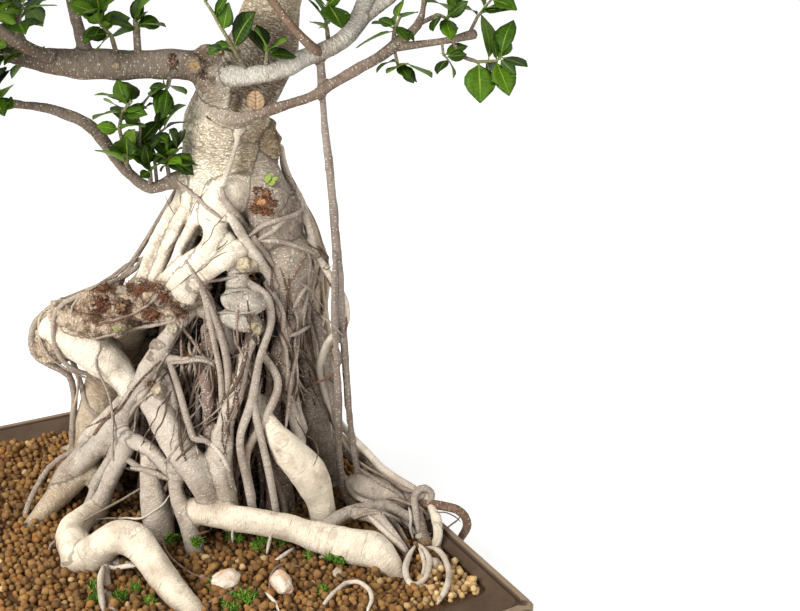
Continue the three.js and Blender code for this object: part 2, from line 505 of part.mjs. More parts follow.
    stem: [[124, 260, 696], [128, 274, 724], [130, 280, 750]], thick: 3.8, count: 6, seed: 64 },
  { name: "spray_back_mid", twig: [[103, 150, 819], [110, 152, 836]],
    stem: [[115, 153, 848], [134, 156, 876], [142, 158, 902]], thick: 2.6, count: 6, seed: 65 },
];

// The stem's first stretch runs straight on from the twig that carries it.
function stemRoute({ from, twig = from, stem, thick }) {
  const [before, joint] = twig.slice(-2).map((point) => new THREE.Vector3(...turned(point)));
  const along = joint.clone().sub(before).normalize();
  const start = joint.clone().addScaledVector(along, gap);
  const straight = joint.clone().addScaledVector(along, 5);
  const bends = stem.map((point) => new THREE.Vector3(...turned(point)));
  return [start, straight, ...bends].map((p, i, all) => {
    const taper = 1 - (stemTaper * i) / (all.length - 1);
    return [p.x, p.y, p.z, thick * taper];
  });
}

function pointAlong(route, share) {
  const reach = Math.min(share, 0.96) * (route.length - 1);
  const i = Math.min(Math.floor(reach), route.length - 2);
  const from = new THREE.Vector3(...route[i].slice(0, 3));
  const to = new THREE.Vector3(...route[i + 1].slice(0, 3));
  return { point: from.clone().lerp(to, reach - i), along: to.sub(from).normalize() };
}

// One blade: pointed at both ends, with its sides raised, its tip drooping and its rib as a keel below.
function blade(base, tip, width, facing) {
  const along = tip.clone().sub(base);
  const length = along.length();
  along.normalize();
  const across = along.clone().cross(facing).normalize();
  const normal = across.clone().cross(along).normalize();
  const at = (share, spread, lift) => {
    const p = base
      .clone()
      .addScaledVector(along, share * length)
      .addScaledVector(across, spread * width)
      .addScaledVector(normal, lift);
    return [p.x, p.y, p.z];
  };
  const cup = leafCup * length;
  const rim = [[0.3, 0.42], [0.65, 0.5], [0.65, -0.5], [0.3, -0.42]];
  const points = [
    at(0, 0, 0),
    ...rim.slice(0, 2).map(([share, spread]) => at(share, spread, cup)),
    at(1, 0, 0),
    ...rim.slice(2).map(([share, spread]) => at(share, spread, cup)),
    at(0.5, 0, cup - leafThick),
  ];
  const faces = [[0, 1, 5], [1, 2, 5], [2, 4, 5], [2, 3, 4]];
  for (let k = 0; k < 6; k += 1) {
    faces.push([(k + 1) % 6, k, 6]);
  }
  return solidFromFaces(points, faces);
}

const treeFront = new THREE.Vector3(...turned([0.1, -0.9, 0.5])).normalize();

function spraySolid(spray) {
  const route = stemRoute(spray);
  let solid = limb(route);
  const { blades = [], count = 0, seed = 1 } = spray;
  blades.forEach(([share, end, width, roll]) => {
    const tip = new THREE.Vector3(...turned(end));
    const base = pointAlong(route, share).point;
    base.addScaledVector(tip.clone().sub(base).normalize(), leafSink);
    const side = tip.clone().sub(base).cross(treeFront).normalize();
    const angle = THREE.MathUtils.degToRad(roll);
    const facing = treeFront.clone().multiplyScalar(Math.cos(angle)).addScaledVector(side, Math.sin(angle));
    solid = solid.add(blade(base, tip, width, facing));
  });
  const draw = draws(seed);
  const middle = new THREE.Vector3(...turned([60, 70, 0]));
  for (let i = 0; i < count; i += 1) {
    const share = 0.3 + (0.7 * (i + 0.5)) / count;
    const { point, along } = pointAlong(route, share);
    const side = new THREE.Vector3(0, 0, 1).cross(along).normalize();
    const above = along.clone().cross(side).normalize();
    const angle = i * goldenAngle + (draw() - 0.5) * 0.6;
    const spread = 1.15 - 0.75 * share + (draw() - 0.5) * 0.3;
    const heading = along
      .clone()
      .multiplyScalar(Math.cos(spread))
      .addScaledVector(side, Math.sin(spread) * Math.cos(angle))
      .addScaledVector(above, Math.sin(spread) * Math.sin(angle));
    heading.z -= 0.12;
    heading.normalize();
    const size = 0.75 + 0.35 * draw();
    const outward = point.clone().sub(middle).setZ(0).normalize();
    const facing = new THREE.Vector3(0, 0, 0.75)
      .addScaledVector(outward, 0.55)
      .add(new THREE.Vector3(draw() - 0.5, draw() - 0.5, draw() - 0.5).multiplyScalar(0.9));
    const tip = point.clone().addScaledVector(heading, leafLength * size);
    point.addScaledVector(heading, leafSink);
    solid = solid.add(blade(point, tip, leafWidth * size, facing));
  }
  return wholeBody(solid);
}

// Soil: a bed whose top stands in granules, level where roots and stones lie on it.
const stones = [
  { name: "pale_stone_1", at: [64, -127], size: [15, 13, 11], turn: 0.5 },
  { name: "pale_stone_2", at: [120, -134], size: [8.5, 18, 13], turn: 0.15 },
];

function woodSolid() {
  const trunk = limb(trunkRoute.map(turned)).subtract(trunkHollow());
  const limbs = [
    trunkKnot,
    ...Object.values(branches),
    ...props,
    ...upperRoots,
    ...leftRoots,
    ...frontRoots,
    ...lyingRoots,
    ...backRoots,
  ];
  let wood = trunk;
  limbs.forEach((route) => {
    wood = wood.add(limb(route.map(turned)));
  });
  sprays.filter(({ twig }) => twig).forEach(({ twig, thick }) => {
    wood = wood.add(limb(twig.map((point) => [...turned(point), thick])));
  });
  wood = wood.subtract(potRoom()).add(rootBall(0));
  return wholeBody(wood);
}

function lyingSpots() {
  const low = soilTop + 14;
  const spots = stones.map(({ at, size }) => {
    const [x, y] = turned([...at, 0]);
    return [x, y, Math.max(...size)];
  });
  [...props, ...leftRoots, ...frontRoots, ...lyingRoots, ...backRoots].forEach((route) => {
    route.slice(1).forEach((end, i) => {
      const start = route[i];
      for (let k = 0; k <= 4; k += 1) {
        const p = start.map((value, j) => value + ((end[j] - value) * k) / 4);
        const [x, y, z, radius] = turned(p);
        if (z - radius < low) {
          spots.push([x, y, radius]);
        }
      }
    });
  });
  return spots;
}

function soilSolid() {
  const columns = Math.round(soilLength / granulePitch);
  const rows = Math.round(soilWidth / granulePitch);
  const draw = draws(7);
  const spots = lyingSpots();
  const points = [];
  for (let j = 0; j <= rows; j += 1) {
    for (let i = 0; i <= columns; i += 1) {
      const edge = i === 0 || j === 0 || i === columns || j === rows;
      const slack = edge ? 0 : granulePitch * 0.3;
      const x = (i / columns - 0.5) * (soilLength - 2 * gap) + (draw() - 0.5) * slack;
      const y = (j / rows - 0.5) * (soilWidth - 2 * gap) + (draw() - 0.5) * slack;
      const rise = (i + j) % 2 === 0 ? granuleRise * (0.6 + 0.4 * draw()) : -granuleRise * 0.3 * draw();
      const covered = spots.some(([sx, sy, r]) => Math.hypot(x - sx, y - sy) < r + levelRing);
      points.push([x, y, soilTop + (edge || covered ? 0 : rise)]);
    }
  }
  const faces = [];
  const at = (i, j) => j * (columns + 1) + i;
  for (let j = 0; j < rows; j += 1) {
    for (let i = 0; i < columns; i += 1) {
      faces.push([at(i, j), at(i + 1, j), at(i + 1, j + 1)], [at(i, j), at(i + 1, j + 1), at(i, j + 1)]);
    }
  }
  const border = [];
  for (let i = 0; i < columns; i += 1) {
    border.push(at(i, 0));
  }
  for (let j = 0; j < rows; j += 1) {
    border.push(at(columns, j));
  }
  for (let i = columns; i > 0; i -= 1) {
    border.push(at(i, rows));
  }
  for (let j = rows; j > 0; j -= 1) {
    border.push(at(0, j));
  }
  const foot = points.length;
  border.forEach((k) => points.push([points[k][0], points[k][1], potFloor + gap]));
  const centre = points.length;
  points.push([0, 0, potFloor + gap]);
  border.forEach((k, n) => {
    const next = (n + 1) % border.length;
    faces.push([border[next], k, foot + n], [border[next], foot + n, foot + next]);
    faces.push([foot + next, foot + n, centre]);
  });
  const outline = new THREE.Shape();
  const corners = roundedOutline(soilLength - 2 * gap, soilWidth - 2 * gap, soilCorner);
  outline.setFromPoints(corners.map(([x, y]) => new THREE.Vector2(x, y)));
  const walls = solidFrom(new THREE.ExtrudeGeometry(outline, { depth: 2 * potHeight, bevelEnabled: false }));
  return wholeBody(solidFromFaces(points, faces).intersect(walls).subtract(rootBall(gap)));
}

function stoneSolid({ at, size, turn }) {
  const stone = new THREE.IcosahedronGeometry(1, 1);
  stone.scale(...size);
  stone.rotateZ(treeTurn + turn);
  const [x, y] = turned([...at, 0]);
  stone.translate(x, y, soilTop + size[2] * 0.55);
  return solidFrom(stone).subtract(boxSolid(potLength, potWidth, 0, soilTop + gap));
}

// A dry leaf caught in the hollow, against the lower branch
function dryLeafSolid() {
  const outline = new THREE.Shape();
  outline.absellipse(0, 0, dryLeafWidth / 2, dryLeafHeight / 2, 0, 2 * Math.PI);
  const leaf = new THREE.ExtrudeGeometry(outline, { depth: 1, bevelEnabled: false, curveSegments: 7 });
  const lean = 0.12;
  leaf.rotateX(Math.PI / 2 - lean);
  leaf.rotateZ(treeTurn);
  const [x, y, z] = turned([95, 24.6, 568]);
  leaf.translate(x, y, z);
  return solidFrom(leaf);
}

const group = new THREE.Group();
group.add(named("pot", potSolid(), unglazedClay));
group.add(named("soil", soilSolid(), bakedGranules));
group.add(named("wood", woodSolid(), bark));
stones.forEach((stone) => group.add(named(stone.name, stoneSolid(stone), whiteStone)));
group.add(named("dry_leaf", dryLeafSolid(), deadLeaf));
sprays.forEach((spray) => group.add(named(spray.name, spraySolid(spray), greenLeaf)));

export default group;
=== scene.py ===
# Ficus bonsai on exposed roots in a rectangular pot: the looks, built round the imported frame.
import math
import random

import bmesh
import bpy
import numpy as np
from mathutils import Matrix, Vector, noise
from mathutils.bvhtree import BVHTree

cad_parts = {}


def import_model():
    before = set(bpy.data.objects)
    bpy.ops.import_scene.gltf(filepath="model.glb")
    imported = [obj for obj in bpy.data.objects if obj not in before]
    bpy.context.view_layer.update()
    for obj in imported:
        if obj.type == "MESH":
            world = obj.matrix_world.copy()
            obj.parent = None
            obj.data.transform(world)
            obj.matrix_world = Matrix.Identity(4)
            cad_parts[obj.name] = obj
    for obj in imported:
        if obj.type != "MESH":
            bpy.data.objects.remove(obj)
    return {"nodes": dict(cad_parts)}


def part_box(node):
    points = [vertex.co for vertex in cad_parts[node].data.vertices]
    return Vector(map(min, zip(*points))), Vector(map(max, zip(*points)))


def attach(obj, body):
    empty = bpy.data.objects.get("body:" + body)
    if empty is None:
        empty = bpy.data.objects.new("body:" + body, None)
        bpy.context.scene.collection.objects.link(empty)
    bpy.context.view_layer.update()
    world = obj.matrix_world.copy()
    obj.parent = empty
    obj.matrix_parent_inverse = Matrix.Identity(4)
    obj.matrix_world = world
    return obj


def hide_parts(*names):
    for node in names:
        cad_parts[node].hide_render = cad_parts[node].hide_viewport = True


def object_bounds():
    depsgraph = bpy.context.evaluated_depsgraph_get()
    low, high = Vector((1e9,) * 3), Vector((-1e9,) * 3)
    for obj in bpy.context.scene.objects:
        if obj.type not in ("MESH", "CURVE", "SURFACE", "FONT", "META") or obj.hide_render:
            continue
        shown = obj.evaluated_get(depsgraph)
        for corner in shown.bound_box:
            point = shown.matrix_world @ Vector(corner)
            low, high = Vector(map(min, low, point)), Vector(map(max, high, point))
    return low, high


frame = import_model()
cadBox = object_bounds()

bpy.context.scene.view_settings.view_transform = "Standard"
nodes = frame["nodes"]
treeTurn = math.radians(61)
millimetre = 0.001
soilTop = 0.112
skyward = Vector((0, 0, 1))
wholeTurn = 2 * math.pi
goldenAngle = math.radians(137.5)
print("frame loaded:", len(nodes), "nodes")


# Places in the tree's own turned frame are (across, away, up) in millimetres
def turned(point):
    across, away, height = point[:3]
    x = across * math.cos(treeTurn) - away * math.sin(treeTurn)
    y = across * math.sin(treeTurn) + away * math.cos(treeTurn)
    return Vector((x, y, height)) * millimetre


def treeSpace(coords):
    x, y, z = coords.T / millimetre
    across = x * math.cos(treeTurn) + y * math.sin(treeTurn)
    away = y * math.cos(treeTurn) - x * math.sin(treeTurn)
    return across, away, z


# A colour as seen on a screen, 0 to 255, as the linear one that a shader reads
def shade(red, green, blue):
    return tuple((c / 255) ** 2.2 for c in (red, green, blue))


def activate(piece):
    bpy.ops.object.select_all(action="DESELECT")
    piece.select_set(True)
    bpy.context.view_layer.objects.active = piece


def modify(piece, kind, **values):
    activate(piece)
    modifier = piece.modifiers.new(kind, kind)
    for name, value in values.items():
        setattr(modifier, name, value)
    bpy.ops.object.modifier_apply(modifier=modifier.name)


def meshPiece(name, coords, faces):
    mesh = bpy.data.meshes.new(name)
    mesh.from_pydata([tuple(c) for c in coords], [], faces)
    mesh.update()
    piece = bpy.data.objects.new(name, mesh)
    bpy.context.scene.collection.objects.link(piece)
    return piece


# The points and faces of a stock shape, for pieces that copy or reshape it
def formOf(add, **values):
    bpy.ops.object.select_all(action="DESELECT")
    add(**values)
    piece = bpy.context.object
    coords = readPoints(piece, "co")
    faces = [tuple(face.vertices) for face in piece.data.polygons]
    bpy.data.objects.remove(piece)
    return coords, faces


# What every point of a piece holds: "co", its place, or "normal"
def readPoints(piece, what):
    values = np.zeros(len(piece.data.vertices) * 3)
    piece.data.vertices.foreach_get(what, values)
    return values.reshape(-1, 3)


def moveTo(piece, coords):
    piece.data.vertices.foreach_set("co", np.asarray(coords, float).ravel())
    piece.data.update()


def record(piece, name, values):
    values = np.asarray(values, float)
    if values.ndim == 1:
        kind, field = "FLOAT", "value"
    elif name == "tint":
        kind, field = "FLOAT_COLOR", "color"
        values = np.hstack([values, np.ones((len(values), 1))])
    else:
        kind, field = "FLOAT_VECTOR", "vector"
    piece.data.attributes.new(name, kind, "POINT").data.foreach_set(field, values.ravel())


def recordBark(piece, grain, tint, fleck, crease):
    record(piece, "grain", grain)
    record(piece, "tint", tint)
    record(piece, "fleck", fleck)
    record(piece, "crease", crease)


def smoothPiece(piece, angle=None):
    activate(piece)
    if angle is None:
        bpy.ops.object.shade_smooth()
    else:
        bpy.ops.object.shade_smooth_by_angle(angle=math.radians(angle))


def finishPiece(piece, slot, material, *replaced):
    piece.data.materials.clear()
    piece.data.materials.append(material)
    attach(piece, "root")
    if replaced:
        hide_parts(*replaced)


# Camera, light and floor
view = {
    "eye": (236.2, -1061, 749),
    "pitch": 20,
    "focal": 1105.0,
    "frame": (800, 611),
    "sensor": 36.0,
}
light = {
    "sky": 0.74,
    "lamps": {"keyLight": ((-1000, -1200, 1300), 50.0), "fillLight": ((1500, -700, 900), 5.0)},
    "size": 1.1,
    "aim": (60, 40, 350),
    "white": (1, 1, 1, 1),
    "floor": shade(250, 250, 250),
    "floorGlow": 0.32,
    "floorSize": 60,
    "floorBelow": 0.0005,
}


def aimed(name, place, aim, add, **values):
    bpy.ops.object.select_all(action="DESELECT")
    add(location=place, **values)
    thing = bpy.context.object
    thing.name = name
    thing.rotation_euler = (aim - place).to_track_quat("-Z", "Y").to_euler()
    return thing


eye = turned(view["eye"])
sight = math.radians(view["pitch"])
ahead = turned((0, 1000 * math.cos(sight), -1000 * math.sin(sight)))
camera = aimed("camera", eye, eye + ahead, bpy.ops.object.camera_add)
camera.data.sensor_width = view["sensor"]
camera.data.lens = view["focal"] * view["sensor"] / view["frame"][0]
bpy.context.scene.camera = camera

for name, (place, power) in light["lamps"].items():
    lamp = aimed(name, turned(place), turned(light["aim"]), bpy.ops.object.light_add, type="AREA")
    lamp.data.energy = power
    lamp.data.size = light["size"]

world = bpy.data.worlds.new("studio")
world.use_nodes = True
world.node_tree.nodes["Background"].inputs["Color"].default_value = light["white"]
world.node_tree.nodes["Background"].inputs["Strength"].default_value = light["sky"]
bpy.context.scene.world = world

bpy.ops.object.select_all(action="DESELECT")
bpy.ops.mesh.primitive_plane_add(size=light["floorSize"], location=(0, 0, -light["floorBelow"]))
floor = bpy.context.object
floor.name = "floor"


# A pixel of the photograph's frame as a ray from the camera
def pixelRay(u, v):
    width, height = view["frame"]
    right = u - width / 2
    down = v - height / 2
    away = view["focal"] * math.cos(sight) - down * math.sin(sight)
    sink = view["focal"] * math.sin(sight) + down * math.cos(sight)
    return turned((right, away, -sink)).normalized()


# A material and the nodes that colour it
class Graph:
    def __init__(self, name, roughness, specular):
        self.material = bpy.data.materials.new(name)
        self.material.use_nodes = True
        self.tree = self.material.node_tree
        self.shader = self.tree.nodes["Principled BSDF"]
        self.set("Roughness", roughness)
        self.set("Specular IOR Level", specular)

    def set(self, name, value):
        self.fill(self.shader.inputs[name], value)

    def fill(self, socket, value):
        if isinstance(value, bpy.types.NodeSocket):
            self.tree.links.new(value, socket)
        elif socket.type == "RGBA":
            socket.default_value = (*value[:3], 1)
        else:
            socket.default_value = value

    def put(self, kind, inputs=None, **settings):
        node = self.tree.nodes.new("ShaderNode" + kind)
        for name, value in settings.items():
            setattr(node, name, value)
        for name, value in (inputs or {}).items():
            self.fill(node.inputs[name], value)
        return node

    def attribute(self, name, output="Fac"):
        return self.put("Attribute", attribute_name=name).outputs[output]

    def place(self):
        return self.put("TexCoord").outputs["Object"]

    def scaled(self, vector, scale):
        return self.put("Mapping", {"Vector": vector, "Scale": scale}).outputs["Vector"]

    def noise(self, vector, scale, detail=4.0, roughness=0.55, distortion=0.0):
        inputs = {"Vector": vector, "Scale": scale, "Detail": detail}
        inputs.update({"Roughness": roughness, "Distortion": distortion})
        return self.put("TexNoise", inputs).outputs["Fac"]

    def bent(self, vector, scale, amount):
        wave = self.put("TexNoise", {"Vector": vector, "Scale": scale, "Detail": 2.0}).outputs["Color"]
        wave = self.put("VectorMath", {0: wave, "Scale": amount}, operation="SCALE").outputs["Vector"]
        return self.put("VectorMath", {0: vector, 1: wave}, operation="ADD").outputs["Vector"]

    def voronoi(self, vector, feature="F1", output="Distance"):
        return self.put("TexVoronoi", {"Vector": vector, "Scale": 1}, feature=feature).outputs[output]

    def ramp(self, value, low, high, toLow=0.0, toHigh=1.0):
        inputs = {"Value": value, "From Min": low, "From Max": high, "To Min": toLow, "To Max": toHigh}
        return self.put("MapRange", inputs).outputs["Result"]

    def math(self, operation, first, second=0.0):
        return self.put("Math", {0: first, 1: second}, operation=operation).outputs["Value"]

    def times(self, first, second):
        return self.math("MULTIPLY", first, second)

    def plus(self, first, second):
        return self.math("ADD", first, second)

    def minus(self, first, second):
        return self.math("SUBTRACT", first, second)

    def mix(self, share, first, second, blend="MIX"):
        inputs = {0: share, 6: first, 7: second}
        return self.put("Mix", inputs, data_type="RGBA", blend_type=blend).outputs[2]

    def dyed(self, colour, dye):
        return self.mix(1.0, colour, dye, "MULTIPLY")

    def finished(self, colour, height, depth, strength=1.0):
        bump = self.put("Bump", {"Height": height, "Distance": depth, "Strength": strength})
        self.set("Base Color", colour)
        self.set("Normal", bump.outputs["Normal"])
        return self.material


# Bark reads the place on its limb (grain), its tint, how flecked and how creased it is
def barkMaterial():
    g = Graph("bark", 0.8, 0.25)
    grain = g.attribute("grain", "Vector")
    tint = g.attribute("tint", "Color")
    crease = g.attribute("crease")
    mottle = g.noise(g.place(), 46, 5, 0.62)
    patch = g.noise(g.place(), 15, 4, 0.55)
    fibres = g.noise(g.scaled(grain, (240, 240, 900)), 1, 5, 0.65, 0.6)
    net = g.voronoi(g.bent(g.scaled(grain, (150, 150, 400)), 0.55, 2.6), "DISTANCE_TO_EDGE")
    bright = g.ramp(g.noise(g.scaled(grain, (170, 170, 460)), 1, 3, 0.6, 0.8), 0.5, 0.62)
    rings = g.ramp(g.noise(g.scaled(grain, (40, 40, 260)), 1, 3, 0.6, 0.8), 0.6, 0.72)
    cells = g.scaled(grain, (330, 330, 560))
    lottery = g.put("SeparateColor", {"Color": g.voronoi(cells, output="Color")}).outputs["Red"]
    kept = g.math("LESS_THAN", lottery, g.attribute("fleck"))
    dots = g.times(g.ramp(g.voronoi(cells), 0.2, 0.42, 1.0, 0.0), kept)
    colour = g.dyed(tint, g.ramp(mottle, 0.3, 0.7, 0.82, 1.14))
    stain = g.dyed(colour, shade(168, 146, 126))
    colour = g.mix(g.ramp(patch, 0.48, 0.66, 0.0, 0.5), colour, stain)
    colour = g.mix(g.ramp(fibres, 0.52, 0.74, 0.0, 0.45), colour, stain)
    furrow = g.times(g.ramp(net, 0.02, 0.15, 0.75, 0.0), crease)
    colour = g.mix(furrow, colour, g.dyed(colour, shade(142, 114, 84)))
    ridge = g.times(g.times(bright, crease), 0.7)
    colour = g.mix(ridge, colour, g.mix(0.3, tint, shade(252, 246, 228)))
    colour = g.mix(g.times(rings, 0.4), colour, stain)
    colour = g.mix(g.times(dots, 0.6), colour, shade(236, 226, 208))
    height = g.plus(g.times(g.ramp(net, 0.05, 0.3), crease), g.times(fibres, 0.5))
    height = g.minus(height, g.times(rings, 0.4))
    return g.finished(colour, g.plus(height, g.times(dots, 0.35)), 0.0015)


# A leaf reads how far across and along it a point lies, its tint and whether that is its underside
def leafMaterial():
    g = Graph("leaf", 0.5, 0.18)
    at = g.put("SeparateXYZ", {"Vector": g.attribute("leafAt", "Vector")}).outputs
    side = g.math("ABSOLUTE", at["X"])
    mottle = g.noise(g.place(), 150, 4, 0.6)
    veins = g.ramp(g.math("SINE", g.minus(g.times(at["Y"], 62), g.times(side, 16))), 0.75, 1.0)
    colour = g.dyed(g.attribute("tint", "Color"), g.ramp(mottle, 0.3, 0.7, 0.72, 1.22))
    colour = g.mix(g.times(veins, 0.12), colour, shade(136, 168, 52))
    rib = g.times(g.ramp(side, 0.01, 0.036, 1.0, 0.0), g.ramp(at["Y"], 0.5, 1.0, 0.6, 0.05))
    colour = g.mix(rib, colour, shade(140, 168, 62))
    colour = g.mix(g.times(g.attribute("under"), 0.5), colour, shade(104, 134, 52))
    height = g.minus(g.plus(g.times(veins, 0.3), g.times(mottle, 0.5)), g.times(rib, 0.8))
    return g.finished(colour, height, 0.0005, 0.7)


def dryLeafMaterial():
    g = Graph("dryLeaf", 0.7, 0.25)
    at = g.put("SeparateXYZ", {"Vector": g.attribute("leafAt", "Vector")}).outputs
    side = g.math("ABSOLUTE", at["X"])
    veins = g.ramp(g.math("SINE", g.minus(g.times(at["Y"], 16), g.times(side, 7))), 0.8, 1.0)
    mottle = g.noise(g.place(), 300, 5, 0.65)
    colour = g.mix(g.ramp(mottle, 0.35, 0.65), shade(166, 143, 114), shade(126, 102, 77))
    rim = g.math("MAXIMUM", side, g.math("ABSOLUTE", at["Y"]))
    colour = g.mix(g.ramp(rim, 0.72, 1.0, 0.0, 0.6), colour, shade(128, 92, 60))
    colour = g.mix(g.times(veins, 0.4), colour, shade(134, 98, 64))
    colour = g.mix(g.ramp(side, 0.03, 0.1, 0.8, 0.0), colour, shade(104, 72, 46))
    return g.finished(colour, g.plus(mottle, veins), 0.0005)


def granuleMaterial():
    g = Graph("granules", 0.92, 0.2)
    grit = g.noise(g.place(), 900, 4, 0.7)
    cloud = g.noise(g.place(), 240, 3)
    colour = g.dyed(g.attribute("tint", "Color"), g.ramp(grit, 0.3, 0.7, 0.66, 1.24))
    colour = g.mix(g.ramp(cloud, 0.55, 0.7, 0.0, 0.3), colour, shade(168, 132, 90))
    return g.finished(colour, grit, 0.0008)


# Clay is paler on its rim, a painted highlight, and darker in the groove, painted shade: one attribute is 1
# on the rim and nought in the groove
def clayMaterial():
    g = Graph("clay", 0.72, 0.35)
    place = g.place()
    cloud = g.noise(place, 9, 5, 0.6)
    grain = g.noise(place, 520, 4, 0.7)
    streaks = g.noise(g.scaled(place, (30, 30, 8)), 1, 4, 0.6, 0.4)
    worn = g.attribute("worn")
    colour = g.mix(g.ramp(cloud, 0.35, 0.65), shade(72, 56, 41), shade(94, 74, 55))
    colour = g.mix(g.ramp(streaks, 0.46, 0.7, 0.0, 0.5), colour, shade(60, 44, 31))
    colour = g.mix(g.ramp(grain, 0.6, 0.75, 0.0, 0.25), colour, shade(122, 102, 80))
    # Painted highlight along the rim
    edge = g.times(g.ramp(worn, 0.55, 1.0), g.ramp(cloud, 0.3, 0.6, 0.45, 0.9))
    colour = g.mix(edge, colour, shade(146, 126, 102))
    # Painted shade in the groove
    colour = g.mix(g.ramp(worn, 0.0, 0.35, 0.85, 0.0), colour, shade(48, 35, 26))
    return g.finished(colour, g.plus(grain, g.times(cloud, 0.6)), 0.0006)


def plainMaterial(name, low, high, scale, roughness, depth):
    g = Graph(name, roughness, 0.3)
    patchy = g.noise(g.place(), scale, 5, 0.62)
    return g.finished(g.mix(g.ramp(patchy, 0.35, 0.65), low, high), patchy, depth)


def floorMaterial():
    g = Graph("paleFloor", 0.9, 0.1)
    g.set("Base Color", light["floor"])
    g.set("Emission Color", light["white"])
    g.set("Emission Strength", light["floorGlow"])
    return g.material


bark = barkMaterial()
leafFinish = leafMaterial()
dryFinish = dryLeafMaterial()
granuleFinish = granuleMaterial()
clay = clayMaterial()
darkBed = plainMaterial("darkBed", shade(58, 40, 26), shade(86, 60, 38), 320, 0.95, 0.001)
paleStone = plainMaterial("paleStone", shade(214, 206, 192), shade(186, 148, 112), 70, 0.85, 0.0014)
greyStone = plainMaterial("greyStone", shade(178, 168, 152), shade(150, 132, 104), 110, 0.85, 0.001)
floor.data.materials.append(floorMaterial())
print("materials made")

# Limbs: points of (across, away, up, radius) in millimetres in the tree's turned frame, as in the solids
trunkRoute = [(52, 72, 445, 43), (50, 70, 477, 43.5), (51, 70, 509, 41), (54, 70, 532, 40),
    (67, 70, 555, 42), (82, 70, 583, 40.5), (97, 70, 612, 34), (108, 70, 650, 28.5), (119, 74, 700, 25),
    (121, 80, 740, 21), (114, 88, 785, 17), (104, 94, 830, 13), (97, 98, 872, 9), (94, 100, 909, 5.4)]
trunkKnot = [(42, 48, 607, 14), (51, 46, 590, 20), (59, 46, 569, 21), (62, 46, 550, 15)]
branches = {
    "left": [(52, 50, 593, 19), (35, 46, 598, 17), (-34, 38, 599, 14), (-95, 32, 604, 13),
        (-130, 28, 611, 11.5), (-165, 22, 622, 9.5), (-200, 16, 640, 7), (-232, 9, 666, 4.6)],
    "leftFront": [(-92, 36, 604, 8), (-112, 8, 618, 7), (-128, -18, 636, 5.5), (-142, -46, 661, 3.8)],
    "leftBack": [(-122, 28, 610, 8), (-140, 55, 625, 6.5), (-150, 88, 645, 5), (-156, 119, 671, 3.8)],
    "leftRise": [(-68, 36, 602, 7), (-78, 44, 640, 6), (-84, 50, 680, 5), (-88, 53, 719, 3.8)],
    # A pale branch crosses the trunk and forks to the right
    "pale": [(54, 46, 590, 14), (75, 32, 590, 11), (110, 22, 595, 9.5), (128, 26, 601, 10.5),
        (143, 32, 608, 9.5), (174, 38, 620, 9), (188, 40, 631, 9), (197, 42, 644, 9.5),
        (203, 45, 665, 7.5), (208, 44, 712, 6.5), (204, 38, 752, 5.5), (197, 29, 794, 4.2)],
    "paleFork": [(197, 42, 641, 7), (227, 46, 663, 5.5), (240, 48, 673, 5), (266, 62, 696, 5),
        (296, 78, 722, 4.2)],
    # A brown shoot rises in front of the trunk
    "brown": [(158, 32, 613, 5), (151, 20, 620, 5), (143, 14, 629, 4.5), (123, 14, 653, 4),
        (106, 20, 679, 4), (96, 8, 705, 4.5), (84, -8, 736, 4), (75, -24, 768, 3.4)],
    # The lower branch loops under the pale one
    "lower": [(36, 48, 566, 9), (53, 34, 555, 9), (70, 28, 549, 7.5), (108, 28, 558, 6),
        (148, 32, 570, 5.5), (187, 36, 592, 5.5), (222, 40, 612, 6), (234, 42, 621, 6.5),
        (254, 45, 638, 4.5), (262, 47, 668, 3.5), (290, 39, 726, 2.8)],
    "lowerFork": [(232, 42, 617, 5), (251, 42, 619, 4), (287, 42, 624, 3.5), (308, 42, 629, 5)],
    "lowLeft": [(28, 56, 485, 13), (9, 46, 483, 10), (-3, 42, 479, 7.5), (-17, 40, 476, 6.5),
        (-39, 36, 493, 6), (-75, 36, 542, 6.5), (-118, 28, 560, 5), (-146, 18, 566, 4)],
    # The crown
    "crownLeft": [(118, 76, 715, 10), (80, 66, 742, 10), (38, 58, 765, 8.5), (-4, 50, 786, 7),
        (-44, 43, 815, 4.6)],
    "crownLeftFront": [(38, 58, 765, 6), (22, 30, 790, 5), (6, 0, 819, 3.8)],
    "crownRightBack": [(120, 80, 735, 10), (160, 104, 765, 9), (198, 124, 795, 7.5), (235, 140, 829, 5)],
    "crownBack": [(114, 88, 780, 9), (108, 130, 805, 8), (98, 168, 832, 6.5), (87, 203, 865, 4.4)],
    "crownLeftBack": [(110, 92, 800, 8), (72, 112, 828, 7), (36, 128, 855, 5.5), (2, 142, 883, 3.8)],
    "topFront": [(104, 94, 835, 7), (130, 72, 858, 6), (155, 49, 885, 4.2)],
    "lowBack": [(85, 90, 588, 12), (90, 140, 610, 9), (100, 180, 632, 7.5), (112, 218, 658, 6),
        (121, 251, 687, 4.2)],
}
props = [
    [(158, 38, 611, 4.5), (161, 40, 541, 4.5), (166, 40, 479, 5), (170, 42, 420, 5), (177, 42, 285, 4.5),
        (181, 42, 213, 4), (188, 42, 151, 4.5), (191, 38, 133, 5), (198, 30, 116, 6)],
    [(168, 39, 405, 3), (167, 35, 373, 3.5), (169, 34, 241, 4.5), (170, 34, 153, 5), (173, 32, 134, 6),
        (189, 18, 108, 8)],
    [(134, 74, 350, 5), (148, 66, 310, 5), (157, 58, 266, 5), (169, 38, 200, 4.5)],
    [(80, 30, 546, 3.2), (67, 24, 505, 3.2), (57, 20, 477, 4.2), (60, 24, 459, 5), (69, 19, 444, 5),
        (89, 21, 410, 5.6), (106, 32, 374, 6)],
]
